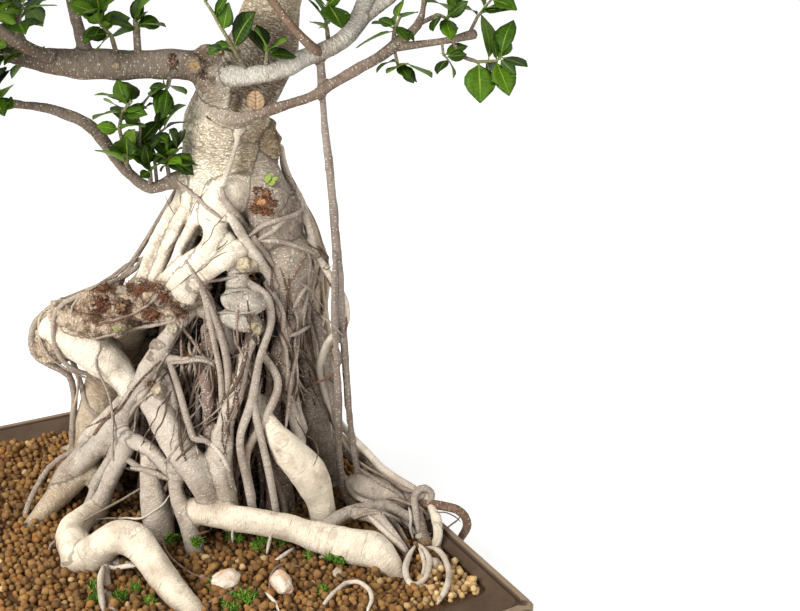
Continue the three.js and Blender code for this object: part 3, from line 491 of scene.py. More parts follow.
upperRoots = [
    [(16, 60, 473, 8.5), (2, 62, 452, 6.5), (-12, 59, 431, 6.5), (-32, 51, 390, 6.5), (-40, 51, 366, 7)],
    [(27, 44, 473, 9), (12, 47, 448, 7.5), (-3, 52, 419, 7), (-26, 50, 370, 8)],
    [(38, 38, 468, 9), (25, 33, 443, 6.5), (4, 32, 405, 5.5), (-6, 35, 380, 7)],
    [(23, 62, 462, 15.5), (1, 80, 425, 15), (-18, 79, 392, 15), (-37, 78, 350, 17.5)],
    [(58, 46, 471, 28.5), (48, 32, 448, 17.5), (45, 23, 428, 11.5), (37, 18, 410, 13.5),
        (13, 18, 374, 17.5)],
    [(85, 37, 424, 8.5), (71, 19, 416, 9.5), (36, 9, 393, 10), (14, 15, 377, 12.5)],
    [(89, 66, 500, 12.5), (99, 56, 483, 18.5), (101, 50, 465, 26), (104, 50, 447, 30),
        (102, 70, 421, 30)],
    [(118, 62, 470, 7.5), (129, 56, 460, 6), (141, 50, 433, 4.5), (147, 54, 400, 5.5)],
    [(102, 68, 421, 21), (112, 58, 404, 27.5), (114, 55, 385, 28.5), (117, 55, 366, 24.5),
        (125, 57, 322, 14)],
    [(130, 60, 419, 4.5), (143, 59, 411, 5.5), (156, 63, 388, 5), (150, 60, 372, 3.5)],
    [(58, 14, 365, 8), (66, 8, 366, 13.5), (79, 8, 364, 14.5), (98, 26, 356, 6.5)],
    [(68, 24, 403, 7), (69, 18, 387, 11.5), (69, 16, 371, 11.5)],
    [(53, 9, 347, 7), (64, 4, 346, 11.5), (81, 8, 340, 10.5), (94, 19, 332, 6.5)],
]
leftRoots = [
    [(30, 22, 373, 13.5), (-2, 30, 360, 20), (-41, 53, 343, 24.5), (-76, 54, 336, 27),
        (-111, 59, 320, 27), (-148, 71, 292, 25)],
    [(-136, 60, 322, 22), (-94, 47, 292, 24), (-70, 41, 271, 19.5), (-50, 24, 256, 13)],
    [(-1, 16, 330, 8), (-15, 8, 310, 10), (-55, 11, 242, 9.5), (-70, 17, 217, 11.5), (-92, 32, 192, 14.5),
        (-139, 32, 142, 14.5), (-158, 30, 102, 13.5)],
    [(-30, 6, 262, 12.5), (-5, -24, 236, 15), (8, -35, 218, 15), (21, -42, 201, 14.5),
        (38, -48, 158, 9.5)],
    [(6, -33, 214, 10.5), (4, -46, 173, 8), (16, -60, 138, 9), (24, -60, 104, 11)],
    [(-69, 18, 215, 9.5), (-48, -7, 213, 9), (-28, -22, 211, 8), (0, -36, 186, 7.5)],
    [(-52, -3, 211, 11.5), (-75, -1, 167, 9), (-97, 0, 120, 11), (-106, 0, 98, 13)],
    [(-68, 15, 212, 6.5), (-74, 16, 187, 6.5), (-90, 20, 163, 6.5), (-117, 29, 102, 8.5)],
    [(-32, -14, 200, 7.5), (-28, -25, 181, 11), (-21, -40, 148, 15), (-14, -45, 102, 13)],
    [(-97, -84, 104, 18.5), (-75, -86, 127, 19.5), (-54, -92, 145, 17), (-33, -98, 148, 17),
        (-15, -110, 137, 15.5), (3, -130, 126, 14.5), (23, -152, 117, 13.5), (45, -174, 104, 13)],
    [(-97, 0, 125, 14), (-112, -40, 122, 17), (-97, -78, 118, 18)],
    [(-34, -96, 116, 3.5), (-58, -90, 117, 4), (-52, -134, 115, 4), (-35, -178, 112, 4)],
]
frontRoots = [
    [(76, 17, 383, 5), (98, 15, 365, 5.5), (102, 15, 349, 4.5), (90, -6, 303, 4), (83, -20, 266, 5),
        (71, -35, 228, 4), (77, -41, 182, 4.5), (82, -42, 142, 4.5)],
    [(83, -20, 266, 4.5), (97, -33, 201, 4), (106, -38, 138, 3.5)],
    [(86, 20, 332, 7), (74, -7, 301, 6.5), (70, -14, 282, 7), (55, -26, 243, 10.5), (49, -34, 202, 14.5),
        (51, -36, 174, 13.5), (56, -38, 130, 11)],
    [(97, 32, 377, 5), (112, 27, 334, 4.5), (114, 17, 284, 5), (117, 11, 258, 5.5), (130, 2, 205, 7)],
    [(123, 50, 352, 5.5), (122, 35, 305, 5), (123, 18, 254, 5.5), (131, 13, 215, 6.5)],
    [(90, 14, 306, 4.5), (108, 2, 278, 4.5), (94, -19, 242, 4.5), (76, -30, 210, 4.5), (80, -38, 160, 5)],
    [(72, 18, 268, 9), (96, -12, 242, 9), (107, -20, 225, 13.5), (120, -21, 206, 18), (134, -18, 186, 19),
        (151, -11, 143, 16), (154, -11, 102, 14)],
    [(122, 76, 332, 13), (132, 64, 276, 9.5), (134, 60, 251, 10.5), (142, 60, 199, 15),
        (148, 64, 175, 14), (159, 76, 116, 6)],
    [(24, 12, 310, 6.5), (34, -6, 273, 7), (37, -22, 218, 7.5)],
    [(40, -24, 217, 7.5), (45, -31, 199, 10), (50, -34, 150, 9.5)],
    [(-13, 9, 286, 5.5), (4, -15, 241, 6), (21, -32, 198, 6)],
    [(-14, 10, 300, 6), (11, -6, 306, 4), (30, -9, 307, 4), (50, 0, 298, 4)],
    [(-14, 14, 280, 7), (-15, -9, 272, 7)],
]
lyingRoots = [
    [(12, -44, 154, 11), (27, -50, 152, 15), (54, -54, 149, 14), (85, -57, 145, 13.6),
        (116, -60, 140, 13.6), (148, -66, 132, 14.3), (179, -78, 130, 17.5), (208, -86, 129, 19),
        (238, -105, 106, 8)],
    [(158, -50, 134, 7), (178, -29, 137, 8), (198, -16, 136, 7.5), (223, -7, 132, 7),
        (253, -22, 124, 5.5)],
    [(182, -26, 136, 5.5), (209, -44, 142, 7.5), (224, -61, 138, 6), (249, -78, 108, 4)],
    [(176, 66, 166, 8.5), (193, 66, 158, 9), (214, 47, 142, 7), (242, 23, 136, 6), (256, -14, 130, 6),
        (258, -32, 124, 7), (264, -53, 106, 8)],
    [(182, 41, 134, 11.5), (196, 31, 134, 15.5), (212, 26, 132, 15.5), (243, 12, 126, 6.5)],
    [(254, 0, 132, 6), (256, 4, 142, 6.5), (264, 6, 146, 6.5), (270, -2, 134, 5.5)],
    [(256, -2, 134, 5.5), (287, -10, 134, 5), (299, -15, 133, 5), (306, -17, 127, 5), (309, -15, 116, 5),
        (301, -11, 92, 4)],
    [(269, -8, 134, 4.5), (276, -31, 128, 6), (276, -48, 120, 5), (273, -64, 108, 3.5)],
    [(-110, 40, 160, 15), (-145, 20, 130, 13), (-170, -12, 104, 10)],
    [(-90, 120, 170, 15), (-140, 150, 126, 13), (-186, 172, 102, 9)],
    [(52, 130, 185, 16), (52, 178, 150, 15), (50, 230, 124, 13), (40, 284, 102, 9)],
    [(110, 150, 150, 14), (118, 185, 124, 11), (112, 215, 102, 8)],
]
backRoots = [
    [(54, 78, 470, 40), (70, 85, 400, 38), (66, 86, 340, 50), (46, 81, 215, 70), (40, 80, 100, 82)],
    [(53, 88, 505, 18), (50, 100, 455, 24), (40, 130, 400, 24), (15, 165, 250, 20), (0, 175, 180, 20),
        (-10, 185, 102, 18)],
    [(62, 90, 500, 18), (75, 105, 450, 26), (90, 135, 390, 26), (105, 165, 240, 22), (92, 186, 102, 18)],
    [(70, 78, 500, 18), (90, 90, 440, 24), (120, 110, 390, 24), (136, 122, 260, 20), (136, 120, 102, 16)],
    [(34, 82, 470, 16), (8, 100, 420, 20), (-35, 125, 330, 22), (-80, 145, 190, 22), (-95, 150, 102, 20)],
    [(30, 74, 470, 16), (0, 82, 410, 20), (-60, 85, 320, 22), (-115, 85, 180, 22), (-130, 80, 102, 20)],
]
# Swellings on the trunk
scars = [
    [(92, 72, 540, 12), (99, 66, 522, 10), (103, 64, 505, 9), (100, 62, 494, 8)],
    [(98, 84, 528, 12), (104, 78, 508, 9)],
]
# Roots that fill the mass out
filling = [
    [(62, 28, 428, 7), (44, 20, 418, 9.5), (25, 19, 407, 9.5), (6, 25, 392, 9.5), (-13, 41, 376, 7.5)],
    [(41, 44, 457, 8), (29, 41, 440, 5.5), (20, 40, 421, 5), (10, 35, 400, 6)],
    [(66, 20, 398, 4), (76, 14, 401, 7.5), (87, 26, 394, 4.5)],
    [(-46, 16, 268, 5), (-72, 26, 238, 5.7), (-91, 26, 219, 5), (-115, 30, 192, 5)],
    [(4, 52, 352, 16), (-12, 60, 290, 19), (-34, 62, 210, 19), (-52, 62, 102, 16)],
    [(20, 56, 352, 26), (6, 66, 290, 30), (-10, 70, 200, 34), (-16, 72, 102, 36)],
    [(20, 34, 352, 12), (38, 26, 346, 11), (52, 22, 330, 10), (62, 16, 312, 9), (70, 20, 292, 7)],
    [(-1, 16, 330, 8), (10, 22, 342, 9), (22, 30, 354, 9)],
    [(96, -16, 240, 7.5), (84, -2, 254, 9), (72, 18, 268, 10)],
    [(-96, 40, 352, 14), (-66, 34, 352, 15), (-38, 34, 350, 14), (-8, 26, 344, 11)],
    [(-128, 52, 338, 16), (-96, 34, 334, 13), (-62, 26, 330, 12)],
    [(40, 12, 396, 7), (24, 10, 384, 9), (6, 12, 372, 9), (-12, 18, 362, 9)],
    [(34, 22, 330, 8), (40, 6, 300, 7), (44, 8, 262, 7), (46, 14, 210, 8)],
    [(118, 34, 330, 8), (104, 20, 290, 8), (100, 14, 250, 9), (104, 16, 190, 10), (110, 20, 110, 10)],
]

# Sprays: name, what it grows from, stem, thickness, leaves. One grows from the end of a branch, or from a
# twig of its own. Its leaves are the seed of the rule that sets them, or listed blades, each with
# its place along the stem, tip, width and roll in degrees
sprays = [
    ("left_stub", [(-20, 38, 604), (-19, 36, 633)], [(-19, 34, 639), (-19, 33, 643)], 3.8, [
        (0.75, (7, 19, 669), 21, -38), (0.3, (13, 21, 638), 20, -51), (0.05, (-39, 16, 644), 18, 31),
        (0.1, (-44, 33, 628), 16, 48)]),
    ("left_upper", [(-39, 36, 604), (-41, 28, 625)], [(-45, 24, 634), (-49, 20, 641), (-49, 14, 653)],
        2.4, [
        (0.25, (-47, -8, 620), 18, 50), (0.62, (-37, 6, 644), 8, -61), (0.7, (-47, -6, 653), 15, 60),
        (0.82, (-25, 5, 668), 18, -43), (0.82, (-57, 30, 677), 18, 37),
        (0.95, (-57, -18, 654), 17, 39)]),
    ("left_under", [(13, 40, 599), (10, 28, 584)], [(8, 27, 579), (6, 28, 574)], 2.2, [
        (0.1, (22, 50, 569), 15, -66), (1, (2, 46, 549), 16, 68)]),
    ("low_left_b", [(-36, 36, 494), (-37, 30, 501)],
        [(-35, 24, 513), (-38, 20, 527), (-39, 16, 542), (-34, 13, 558), (-24, 12, 569)], 2.6, [
        (0.15, (-61, 1, 523), 20, 69), (0.33, (-29, 3, 536), 21, 0), (0.65, (-9, 0, 546), 19, -62),
        (0.73, (-37, 51, 554), 24, 0), (0.83, (-54, -20, 557), 21, 50),
        (0.85, (-57, 36, 566), 17, 75), (0.98, (-51, 33, 571), 17, 51), (1, (-52, -15, 579), 20, 67),
        (1, (-33, 41, 583), 17, 30)]),
    ("low_left_a", [(-18, 40, 476), (-16, 32, 493)],
        [(-18, 28, 512), (-23, 26, 525), (-20, 24, 542), (-23, 20, 561)], 2.4, [
        (0.05, (5, 17, 508), 15, -52), (0.1, (-23, 18, 492), 9, 0), (0.42, (0, 19, 530), 14, -40),
        (0.9, (-2, 9, 567), 14, -60), (1, (7, 11, 583), 19, -66), (0.9, (-4, 41, 578), 18, -64),
        (0.6, (-35, 50, 534), 14, 33)]),
    ("low_left_d", [(-12, 42, 479), (-12, 40, 498)], [(-13, 38, 515), (-10, 36, 529), (3, 32, 539)], 2, [
        (1, (27, 20, 564), 19, -54), (1, (22, 40, 543), 16, -60), (0.7, (-21, 44, 521), 9, 56)]),
    ("low_left_c", [(1, 44, 480), (1, 37, 500)], [(3, 34, 508), (9, 32, 513), (15, 28, 518)], 2.2, [
        (0.32, (-8, 17, 517), 12, 47), (0.52, (21, 19, 521), 13, -57), (1, (11, 7, 542), 19, 44),
        (0.05, (9, 57, 495), 11, -35), (0.05, (-3, 24, 496), 7, 45), (1, (18, 53, 534), 15, -42)]),
    ("low_left_end", "lowLeft", [(-158, 14, 568), (-178, 2, 580), (-192, -14, 594)], 3.4, 25),
    ("right_hanging", [(287, 42, 623), (298, 38, 608), (307, 35, 605)],
        [(320, 33, 604), (330, 31, 605), (335, 30, 609)], 1.9, [
        (0.28, (314, 13, 567), 26, 0), (0.73, (342, 13, 574), 21, -13), (1, (358, 8, 602), 16, -32),
        (1, (347, 48, 642), 20, -39), (0.57, (315, 52, 647), 22, 36), (0.5, (323, 57, 586), 21, 0)]),
    ("right_bud", [(303, 42, 628), (309, 40, 641)], [(313, 38, 648), (318, 36, 655), (326, 34, 665)],
        1.8, [
        (0.5, (329, 25, 654), 7, -64), (0.73, (307, 55, 673), 14, 57), (1, (346, 21, 653), 12, -61),
        (0.98, (320, 17, 688), 15, 45), (0.35, (296, 57, 652), 12, 50)]),
    ("right_top", [(254, 45, 638), (268, 44, 645)],
        [(275, 42, 647), (282, 40, 644), (287, 38, 650), (289, 36, 660)], 2.2, [
        (0.8, (260, 6, 662), 24, 47), (0.62, (287, 15, 637), 14, -42), (0.37, (268, 19, 634), 13, 48),
        (0.87, (297, 62, 668), 17, -41), (0.87, (281, 64, 670), 18, 40)]),
    ("right_inner", [(229, 42, 617), (231, 40, 632)], [(233, 38, 638), (236, 36, 645)], 2.2, [
        (0.1, (209, 19, 641), 18, 40), (0.05, (194, 22, 618), 20, 68), (0.3, (237, 62, 651), 14, -70),
        (0.98, (253, 14, 652), 14, -52), (1, (239, 60, 660), 14, -52)]),
    ("right_under", [(230, 42, 617), (233, 36, 605)], [(236, 34, 601), (244, 32, 602)], 1.8, [
        (0.1, (214, 12, 596), 15, 58), (0.92, (223, 10, 596), 15, 55), (1, (267, 9, 592), 19, -51)]),
    ("right_small", [(277, 42, 622), (278, 36, 614)], [(280, 33, 609), (283, 31, 606)], 1.4, [
        (0.4, (289, 46, 586), 12, -66), (1, (272, 16, 594), 13, 40)]),
    ("inner_front", [(88, 26, 596), (81, 16, 611)],
        [(77, 11, 621), (66, 4, 643), (61, 2, 654), (55, 0, 664)], 2.2, [
        (0.32, (102, 0, 654), 25, -31), (0.72, (72, 21, 663), 13, -54), (0.97, (50, -17, 675), 11, 41),
        (0.98, (60, 18, 678), 12, -46), (0.1, (52, 6, 621), 15, 51)]),
    ("inner_top", [(105, 26, 594), (108, 17, 609)], [(109, 13, 615), (110, 10, 620)], 2, [
        (0.1, (72, 30, 641), 18, 62), (0.4, (100, -10, 640), 18, 56), (0.6, (131, -4, 628), 17, -41)]),
    ("inner_right", [(167, 38, 616), (166, 34, 631)], [(165, 31, 638), (165, 28, 649), (168, 24, 661)],
        2.2, [
        (1, (182, -7, 640), 24, -19), (0.15, (152, 4, 644), 13, 49), (0.58, (148, 17, 665), 16, 61),
        (0.75, (153, 46, 663), 13, 48), (0.97, (174, 49, 679), 16, -45)]),
    ("left_end", "left", [(-242, 6, 675), (-257, 2, 700), (-262, -2, 728)], 4.2, 41),
    ("left_front", "leftFront", [(-148, -58, 672), (-156, -74, 698), (-158, -84, 724)], 3.4, 42),
    ("left_back", "leftBack", [(-159, 130, 681), (-166, 146, 708), (-168, 154, 734)], 3.4, 43),
    ("left_rise", "leftRise", [(-89, 54, 732), (-94, 52, 762), (-102, 50, 788)], 3.4, 44),
    ("crown_left", "crownLeft", [(-56, 41, 823), (-78, 34, 846), (-92, 30, 872)], 4.2, 51),
    ("crown_left_front", "crownLeftFront", [(1, -10, 829), (-9, -28, 856), (-14, -38, 884)], 3.4, 52),
    ("crown_left_rise", [(-8, 51, 788), (-10, 54, 806)], [(-11, 56, 818), (-16, 62, 846), (-18, 64, 872)],
        2.6, 53),
    ("crown_right_back", "crownRightBack", [(246, 145, 839), (266, 151, 866), (274, 152, 894)], 4.6, 54),
    ("crown_right_mid", [(178, 114, 779), (184, 106, 798)],
        [(188, 101, 810), (198, 84, 838), (204, 72, 864)], 2.6, 55),
    ("crown_back", "crownBack", [(84, 213, 876), (80, 230, 904), (78, 236, 930)], 4, 56),
    ("crown_left_back", "crownLeftBack", [(-8, 146, 892), (-26, 152, 918), (-36, 152, 944)], 3.4, 57),
    ("right_rise", "pale", [(194, 26, 806), (186, 14, 836), (180, 4, 862)], 3.8, 58),
    ("right_fork", "paleFork", [(306, 83, 731), (326, 92, 754), (334, 96, 782)], 3.8, 59),
    ("right_tip", "lower", [(295, 37, 736), (306, 30, 762), (314, 22, 786)], 2.5, 60),
    ("front_rise", "brown", [(72, -30, 778), (66, -44, 806), (60, -52, 832)], 3, 61),
    ("top", "trunk", [(93, 101, 922), (91, 104, 952), (94, 106, 980)], 4.8, 62),
    ("top_front", "topFront", [(162, 43, 893), (174, 34, 920), (180, 26, 946)], 3.8, 63),
    ("back_low", "lowBack", [(124, 260, 696), (128, 274, 724), (130, 280, 750)], 3.8, 64),
    ("back_mid", [(103, 150, 819), (110, 152, 836)], [(115, 153, 848), (134, 156, 876), (142, 158, 902)],
        2.6, 65),
]

# How each kind of wood looks: its tint, how flecked, how creased and how rough it is
kinds = {
    "trunk": ((250, 240, 214), 0.12, 1.0, 0.0),
    "leader": ((214, 198, 168), 0.5, 0.45, 0.0),
    "junction": ((124, 108, 92), 0.3, 0.45, 0.1),
    "branch": ((118, 105, 92), 0.3, 0.3, 0.0),
    "pale": ((188, 183, 172), 0.16, 0.5, 0.0),
    "shoot": ((128, 106, 88), 0.24, 0.2, 0.0),
    "lower": ((124, 108, 94), 0.42, 0.25, 0.0),
    "prop": ((134, 122, 111), 0.34, 0.2, 0.0),
    "flute": ((236, 224, 203), 0.14, 0.32, 0.0),
    "shoulder": ((150, 137, 122), 0.3, 0.5, 0.1),
    "knob": ((172, 164, 151), 0.5, 0.4, 0.2),
    "stump": ((190, 170, 144), 0.25, 0.8, 1.0),
    "burl": ((96, 78, 62), 0.1, 0.8, 1.0),
    "cream": ((224, 210, 187), 0.12, 0.2, 0.0),
    "root": ((184, 172, 157), 0.3, 0.25, 0.0),
    "grey": ((170, 157, 143), 0.42, 0.2, 0.0),
    "purple": ((122, 103, 92), 0.5, 0.3, 0.0),
    "brown": ((124, 96, 76), 0.3, 0.4, 0.1),
    "back": ((188, 170, 144), 0.25, 0.35, 0.0),
    # Painted shade: the hidden core is near black so the gaps between the roots look deeply shaded
    "core": ((34, 25, 19), 0.0, 0.8, 0.2),
}
kindLift = 0.14
woodPlan = [
    ("trunk junction", [trunkRoute, trunkKnot]),
    ("prop prop prop root", props),
    ("flute flute flute flute flute flute shoulder grey shoulder grey knob knob knob", upperRoots),
    ("stump flute root root root root root root root cream cream root", leftRoots),
    ("grey grey root grey grey grey cream shoulder purple purple grey grey grey", frontRoots),
    ("cream grey grey lower root root brown cream back back back back", lyingRoots),
    ("core back back back back back", backRoots),
    ("burl burl", scars),
    ("flute flute shoulder root purple core grey root grey stump stump shoulder purple purple", filling),
]
branchKinds = {
    "pale": "pale", "paleFork": "pale", "brown": "shoot", "lower": "lower", "lowerFork": "lower",
    "crownLeft": "leader", "crownLeftFront": "leader", "crownRightBack": "leader", "crownBack": "leader",
    "crownLeftBack": "leader", "topFront": "leader", "lowBack": "leader",
}
wood = {
    "thinBelow": 5.6,
    "thickAbove": 12,
    "thinStep": 0.005,
    "thickStep": 0.006,
    "voxel": 0.0023,
    "relax": 5,
    "kept": 0.45,
    "coreShownFrom": 0.4,
    "splitAt": 0.452,
    "splitAngle": 70,
    "blend": 0.0022,
}


def plannedLimbs():
    limbs = []
    for names, routes in woodPlan:
        limbs += list(zip(names.split(), routes))
    for name, route in branches.items():
        limbs.append((branchKinds.get(name, "branch"), route))
    for _, twig, _, thick, _ in sprays:
        if isinstance(twig, list):
            limbs.append(("branch", [(*point, thick) for point in twig]))
    return limbs


# A route of (across, away, up, radius) as a smooth line through its points, in metres
def smoothRoute(route, step):
    rows = np.array([(*turned(point), point[3] * millimetre) for point in route])
    gaps = np.linalg.norm(np.diff(rows[:, :3], axis=0), axis=1)[:, None]
    slopes = np.diff(rows, axis=0) / gaps
    inner = (slopes[:-1] * gaps[1:] + slopes[1:] * gaps[:-1]) / (gaps[:-1] + gaps[1:])
    tangents = np.vstack([slopes[:1], inner, slopes[-1:]])
    line = []
    for i, gap in enumerate(gaps[:, 0]):
        count = max(2, round(gap / step))
        t = (np.arange(count) / count)[:, None]
        start = (2 * t**3 - 3 * t**2 + 1) * rows[i] + (t**3 - 2 * t**2 + t) * gap * tangents[i]
        end = (3 * t**2 - 2 * t**3) * rows[i + 1] + (t**3 - t**2) * gap * tangents[i + 1]
        line.append(start + end)
    return np.vstack([*line, rows[-1:]])


# A tube's rounded ends are rings of (how far past its end, how wide), both as shares of its radius
tube = {
    "ends": [(0.35, 0.88), (0.6, 0.6), (0.72, 0.25)],
    "across": (0.31, 0.95, 0.08),
    "shift": 0.37,
    "twoLobes": 31,
    "threeLobes": 47,
}


def roundedEnd(end, before):
    way = end[:3] - before[:3]
    way = way / np.linalg.norm(way)
    return [[*(end[:3] + way * end[3] * out), end[3] * share] for out, share in tube["ends"]]


def newTubes():
    return {"coords": [], "faces": [], "grain": [], "samples": [], "looks": [], "count": 0}


def addTube(tubes, line, sides, look, lobes=0.05):
    line = np.vstack([roundedEnd(line[0], line[1])[::-1], line, roundedEnd(line[-1], line[-2])])
    centres = line[:, :3]
    along = np.gradient(centres, axis=0)
    along /= np.linalg.norm(along, axis=1)[:, None]
    across = np.array(tube["across"])
    run = np.concatenate([[0], np.cumsum(np.linalg.norm(np.diff(centres, axis=0), axis=1))])
    angles = 2 * np.pi * np.arange(sides) / sides
    start = tubes["count"]
    shift = len(tubes["samples"]) * tube["shift"]
    for i, centre in enumerate(centres):
        across = across - along[i] * across.dot(along[i])
        across /= np.linalg.norm(across)
        upwards = np.cross(along[i], across)
        radius = line[i, 3]
        swell = 1 + lobes * np.sin(2 * angles + shift + run[i] * tube["twoLobes"])
        swell += lobes * np.sin(3 * angles - run[i] * tube["threeLobes"])
        ring = np.outer(np.cos(angles) * swell, across) + np.outer(np.sin(angles) * swell, upwards)
        tubes["coords"].append(centre + ring * radius)
        offsets = np.stack([np.cos(angles) * radius, np.sin(angles) * radius, np.full(sides, run[i])], 1)
        tubes["grain"].append(offsets + [0, 0, shift])
        tubes["samples"].append([*centre, radius, *across, *upwards, *along[i], run[i] + shift])
        tubes["looks"].append(look)
    addSides(tubes, start, len(centres), sides)


# The faces between a tube's rings and those that close its ends
def addSides(tubes, start, rows, sides):
    for i in range(rows - 1):
        for k in range(sides):
            here = start + i * sides + k
            beside = start + i * sides + (k + 1) % sides
            tubes["faces"].append((here, beside, beside + sides, here + sides))
    tubes["faces"].append(tuple(start + k for k in reversed(range(sides))))
    tubes["faces"].append(tuple(start + (rows - 1) * sides + k for k in range(sides)))
    tubes["count"] += rows * sides


def tubePiece(name, tubes, tree=None):
    coords = np.vstack(tubes["coords"])
    piece = meshPiece(name, coords, tubes["faces"])
    sides = [len(ring) for ring in tubes["coords"]]
    looks = np.repeat(np.array(tubes["looks"]), sides, axis=0)
    tint = looks[:, :3]
    if tree:
        # Painted shade in the crevices near the wood
        tint = paintCreviceShade(piece, coords, readPoints(piece, "normal"), tint, tree)
    recordBark(piece, np.vstack(tubes["grain"]), tint, looks[:, 3], looks[:, 4])
    smoothPiece(piece)
    return piece


# The look, the place along its limb and the girth of every point of the grown-together wood
def readLimbs(coords, tubes, block=3000):
    samples = np.array(tubes["samples"], np.float32)
    looks = np.array(tubes["looks"], np.float32)
    centres, radii = samples[:, :3], samples[:, 3]
    looksOut = np.zeros((len(coords), looks.shape[1]))
    grain = np.zeros((len(coords), 3))
    thick = np.zeros(len(coords))
    for low in range(0, len(coords), block):
        part = slice(low, low + block)
        places = coords[part].astype(np.float32)
        spread = (places**2).sum(1)[:, None] + (centres**2).sum(1)[None] - 2 * places @ centres.T
        reach = np.sqrt(np.maximum(spread, 1e-9)) - radii
        nearest = reach.argmin(1)
        thick[part] = radii[nearest]
        weights = np.exp(-(reach - reach.min(1)[:, None]) / wood["blend"])
        looksOut[part] = (weights @ looks) / weights.sum(1)[:, None]
        chosen = samples[nearest]
        offset = places - chosen[:, :3]
        for axis in range(3):
            grain[part, axis] = (offset * chosen[:, 4 + 3 * axis:7 + 3 * axis]).sum(1)
        grain[part, 2] += chosen[:, 13]
    return looksOut, grain, thick


def lookOf(kind, rng):
    tint, *rest = kinds[kind]
    lift = 1 + kindLift * (rng.random() - 0.5)
    return [*(c * lift for c in shade(*tint)), *rest]


# The hollow between the two branches on the trunk's face, in the tree's space
hollow = {"centre": (78, 568), "half": (20, 14), "floor": 30, "depth": 14, "before": 70}


def hollowed(coords):
    across, away, height = treeSpace(coords)
    (middle, level), (wide, tall) = hollow["centre"], hollow["half"]
    inside = 1 - ((across - middle) / wide) ** 2 - ((height - level) / tall) ** 2
    floorAway = hollow["floor"] + hollow["depth"] * np.sqrt(np.maximum(inside, 0))
    shown = (inside > 0) & (away < hollow["before"])
    push = np.where(shown, np.maximum(floorAway - away, 0), 0) * millimetre
    coords[:, 0] -= push * math.sin(treeTurn)
    coords[:, 1] += push * math.cos(treeTurn)
    return coords


def smoothstep(values, low, high):
    t = np.clip((values - low) / (high - low), 0, 1)
    return t * t * (3 - 2 * t)


def blendTint(tint, share, colour):
    return tint + (np.array(shade(*colour)) - tint) * np.clip(share, 0, 1)[:, None]


# Colour by place: the trunk browner and, as painted shade, darker to the right, browner above, rust on the
# stump, painted shade under branches, darker near the soil
def weathered(coords, normals, looks):
    across, _, height = treeSpace(coords)
    crease, rough = looks[:, 4], looks[:, 5]
    streaks = np.array([noise.noise(Vector((c[0] * 34, c[1] * 34, c[2] * 16))) for c in coords])
    grain = np.array([noise.noise(Vector(c) * 90) + 0.5 * noise.noise(Vector(c) * 260) for c in coords])
    trunkish = smoothstep(height, 455, 490) * (1 - smoothstep(height, 585, 620)) * (crease > 0.7)
    # Painted shade: the trunk's right side is painted darker and browner
    side = smoothstep(across + 34 * streaks, 44, 78)
    collar = smoothstep(height + 14 * streaks, 556, 572) * (1 - smoothstep(height, 640, 690))
    collar *= crease > 0.7
    upper = smoothstep(height, 620, 660) * (crease > 0.6)
    # Painted shade on faces that look down, under the branches
    paintedUnderShade = smoothstep(-normals[:, 2], 0.2, 0.9) * smoothstep(height, 470, 540)
    rusty = smoothstep(grain, -0.05, 0.35) * smoothstep(rough, 0.5, 0.9) * (height < 400)
    stained = smoothstep(grain + streaks, 0.35, 0.8) * (height < 440)
    nearSoil = 1 - smoothstep(height, 112, 130)
    tint = looks[:, :3].copy()
    # Painted shade on the trunk's right side
    tint = blendTint(tint, trunkish * side * 0.75, (158, 136, 104))
    tint = blendTint(tint, collar * 0.85, (134, 118, 100))
    tint = blendTint(tint, upper * 0.85, (222, 205, 174))
    # Painted shade under the branches
    tint = blendTint(tint, paintedUnderShade * 0.5, (108, 82, 58))
    tint = blendTint(tint, rusty * 0.8, (108, 66, 40))
    tint = blendTint(tint, stained * 0.35, (126, 96, 70))
    # Darker near the soil
    return blendTint(tint, nearSoil * 0.45, (118, 92, 62))


# Relief has lumps of one height everywhere, swellings by girth and grit on rough wood
relief = {
    "lump": 0.0011, "lumpScales": (46, 105), "lumpShare": 0.6,
    "swell": 0.13, "swellScales": (23, 52), "swellShare": 0.5, "widest": 0.03,
    "grit": 0.0042, "gritScale": 120, "gritFrom": 0.02, "gritFractal": (0.7, 2.1, 3),
}


def reliefOf(coords, looks, thick):
    lift = np.zeros(len(coords))
    (wide, fine), (broad, narrow) = relief["lumpScales"], relief["swellScales"]
    for i, (x, y, z) in enumerate(coords):
        p = Vector((x, y, z))
        lumps = noise.noise(p * wide) + relief["lumpShare"] * noise.noise(p * fine)
        swellings = noise.noise(p * broad) + relief["swellShare"] * noise.noise(p * narrow)
        lift[i] = relief["lump"] * lumps
        lift[i] += relief["swell"] * min(thick[i], relief["widest"]) * swellings
        if looks[i, 5] > relief["gritFrom"]:
            grit = noise.fractal(p * relief["gritScale"], *relief["gritFractal"])
            lift[i] += relief["grit"] * looks[i, 5] * grit
    return lift


# Painted shade in crevices: the share of short rays from a point that meet the wood says how deep it lies,
# and deeper points are painted darker
crevice = {
    "clear": 0.0015,
    "lean": 1.02,
    "reach": 0.05,
    "nearer": 0.6,
    "rays": 6,
    "evened": 4,
    "range": (0.3, 0.86),
    "share": 0.88,
    "colour": (40, 29, 22),
}


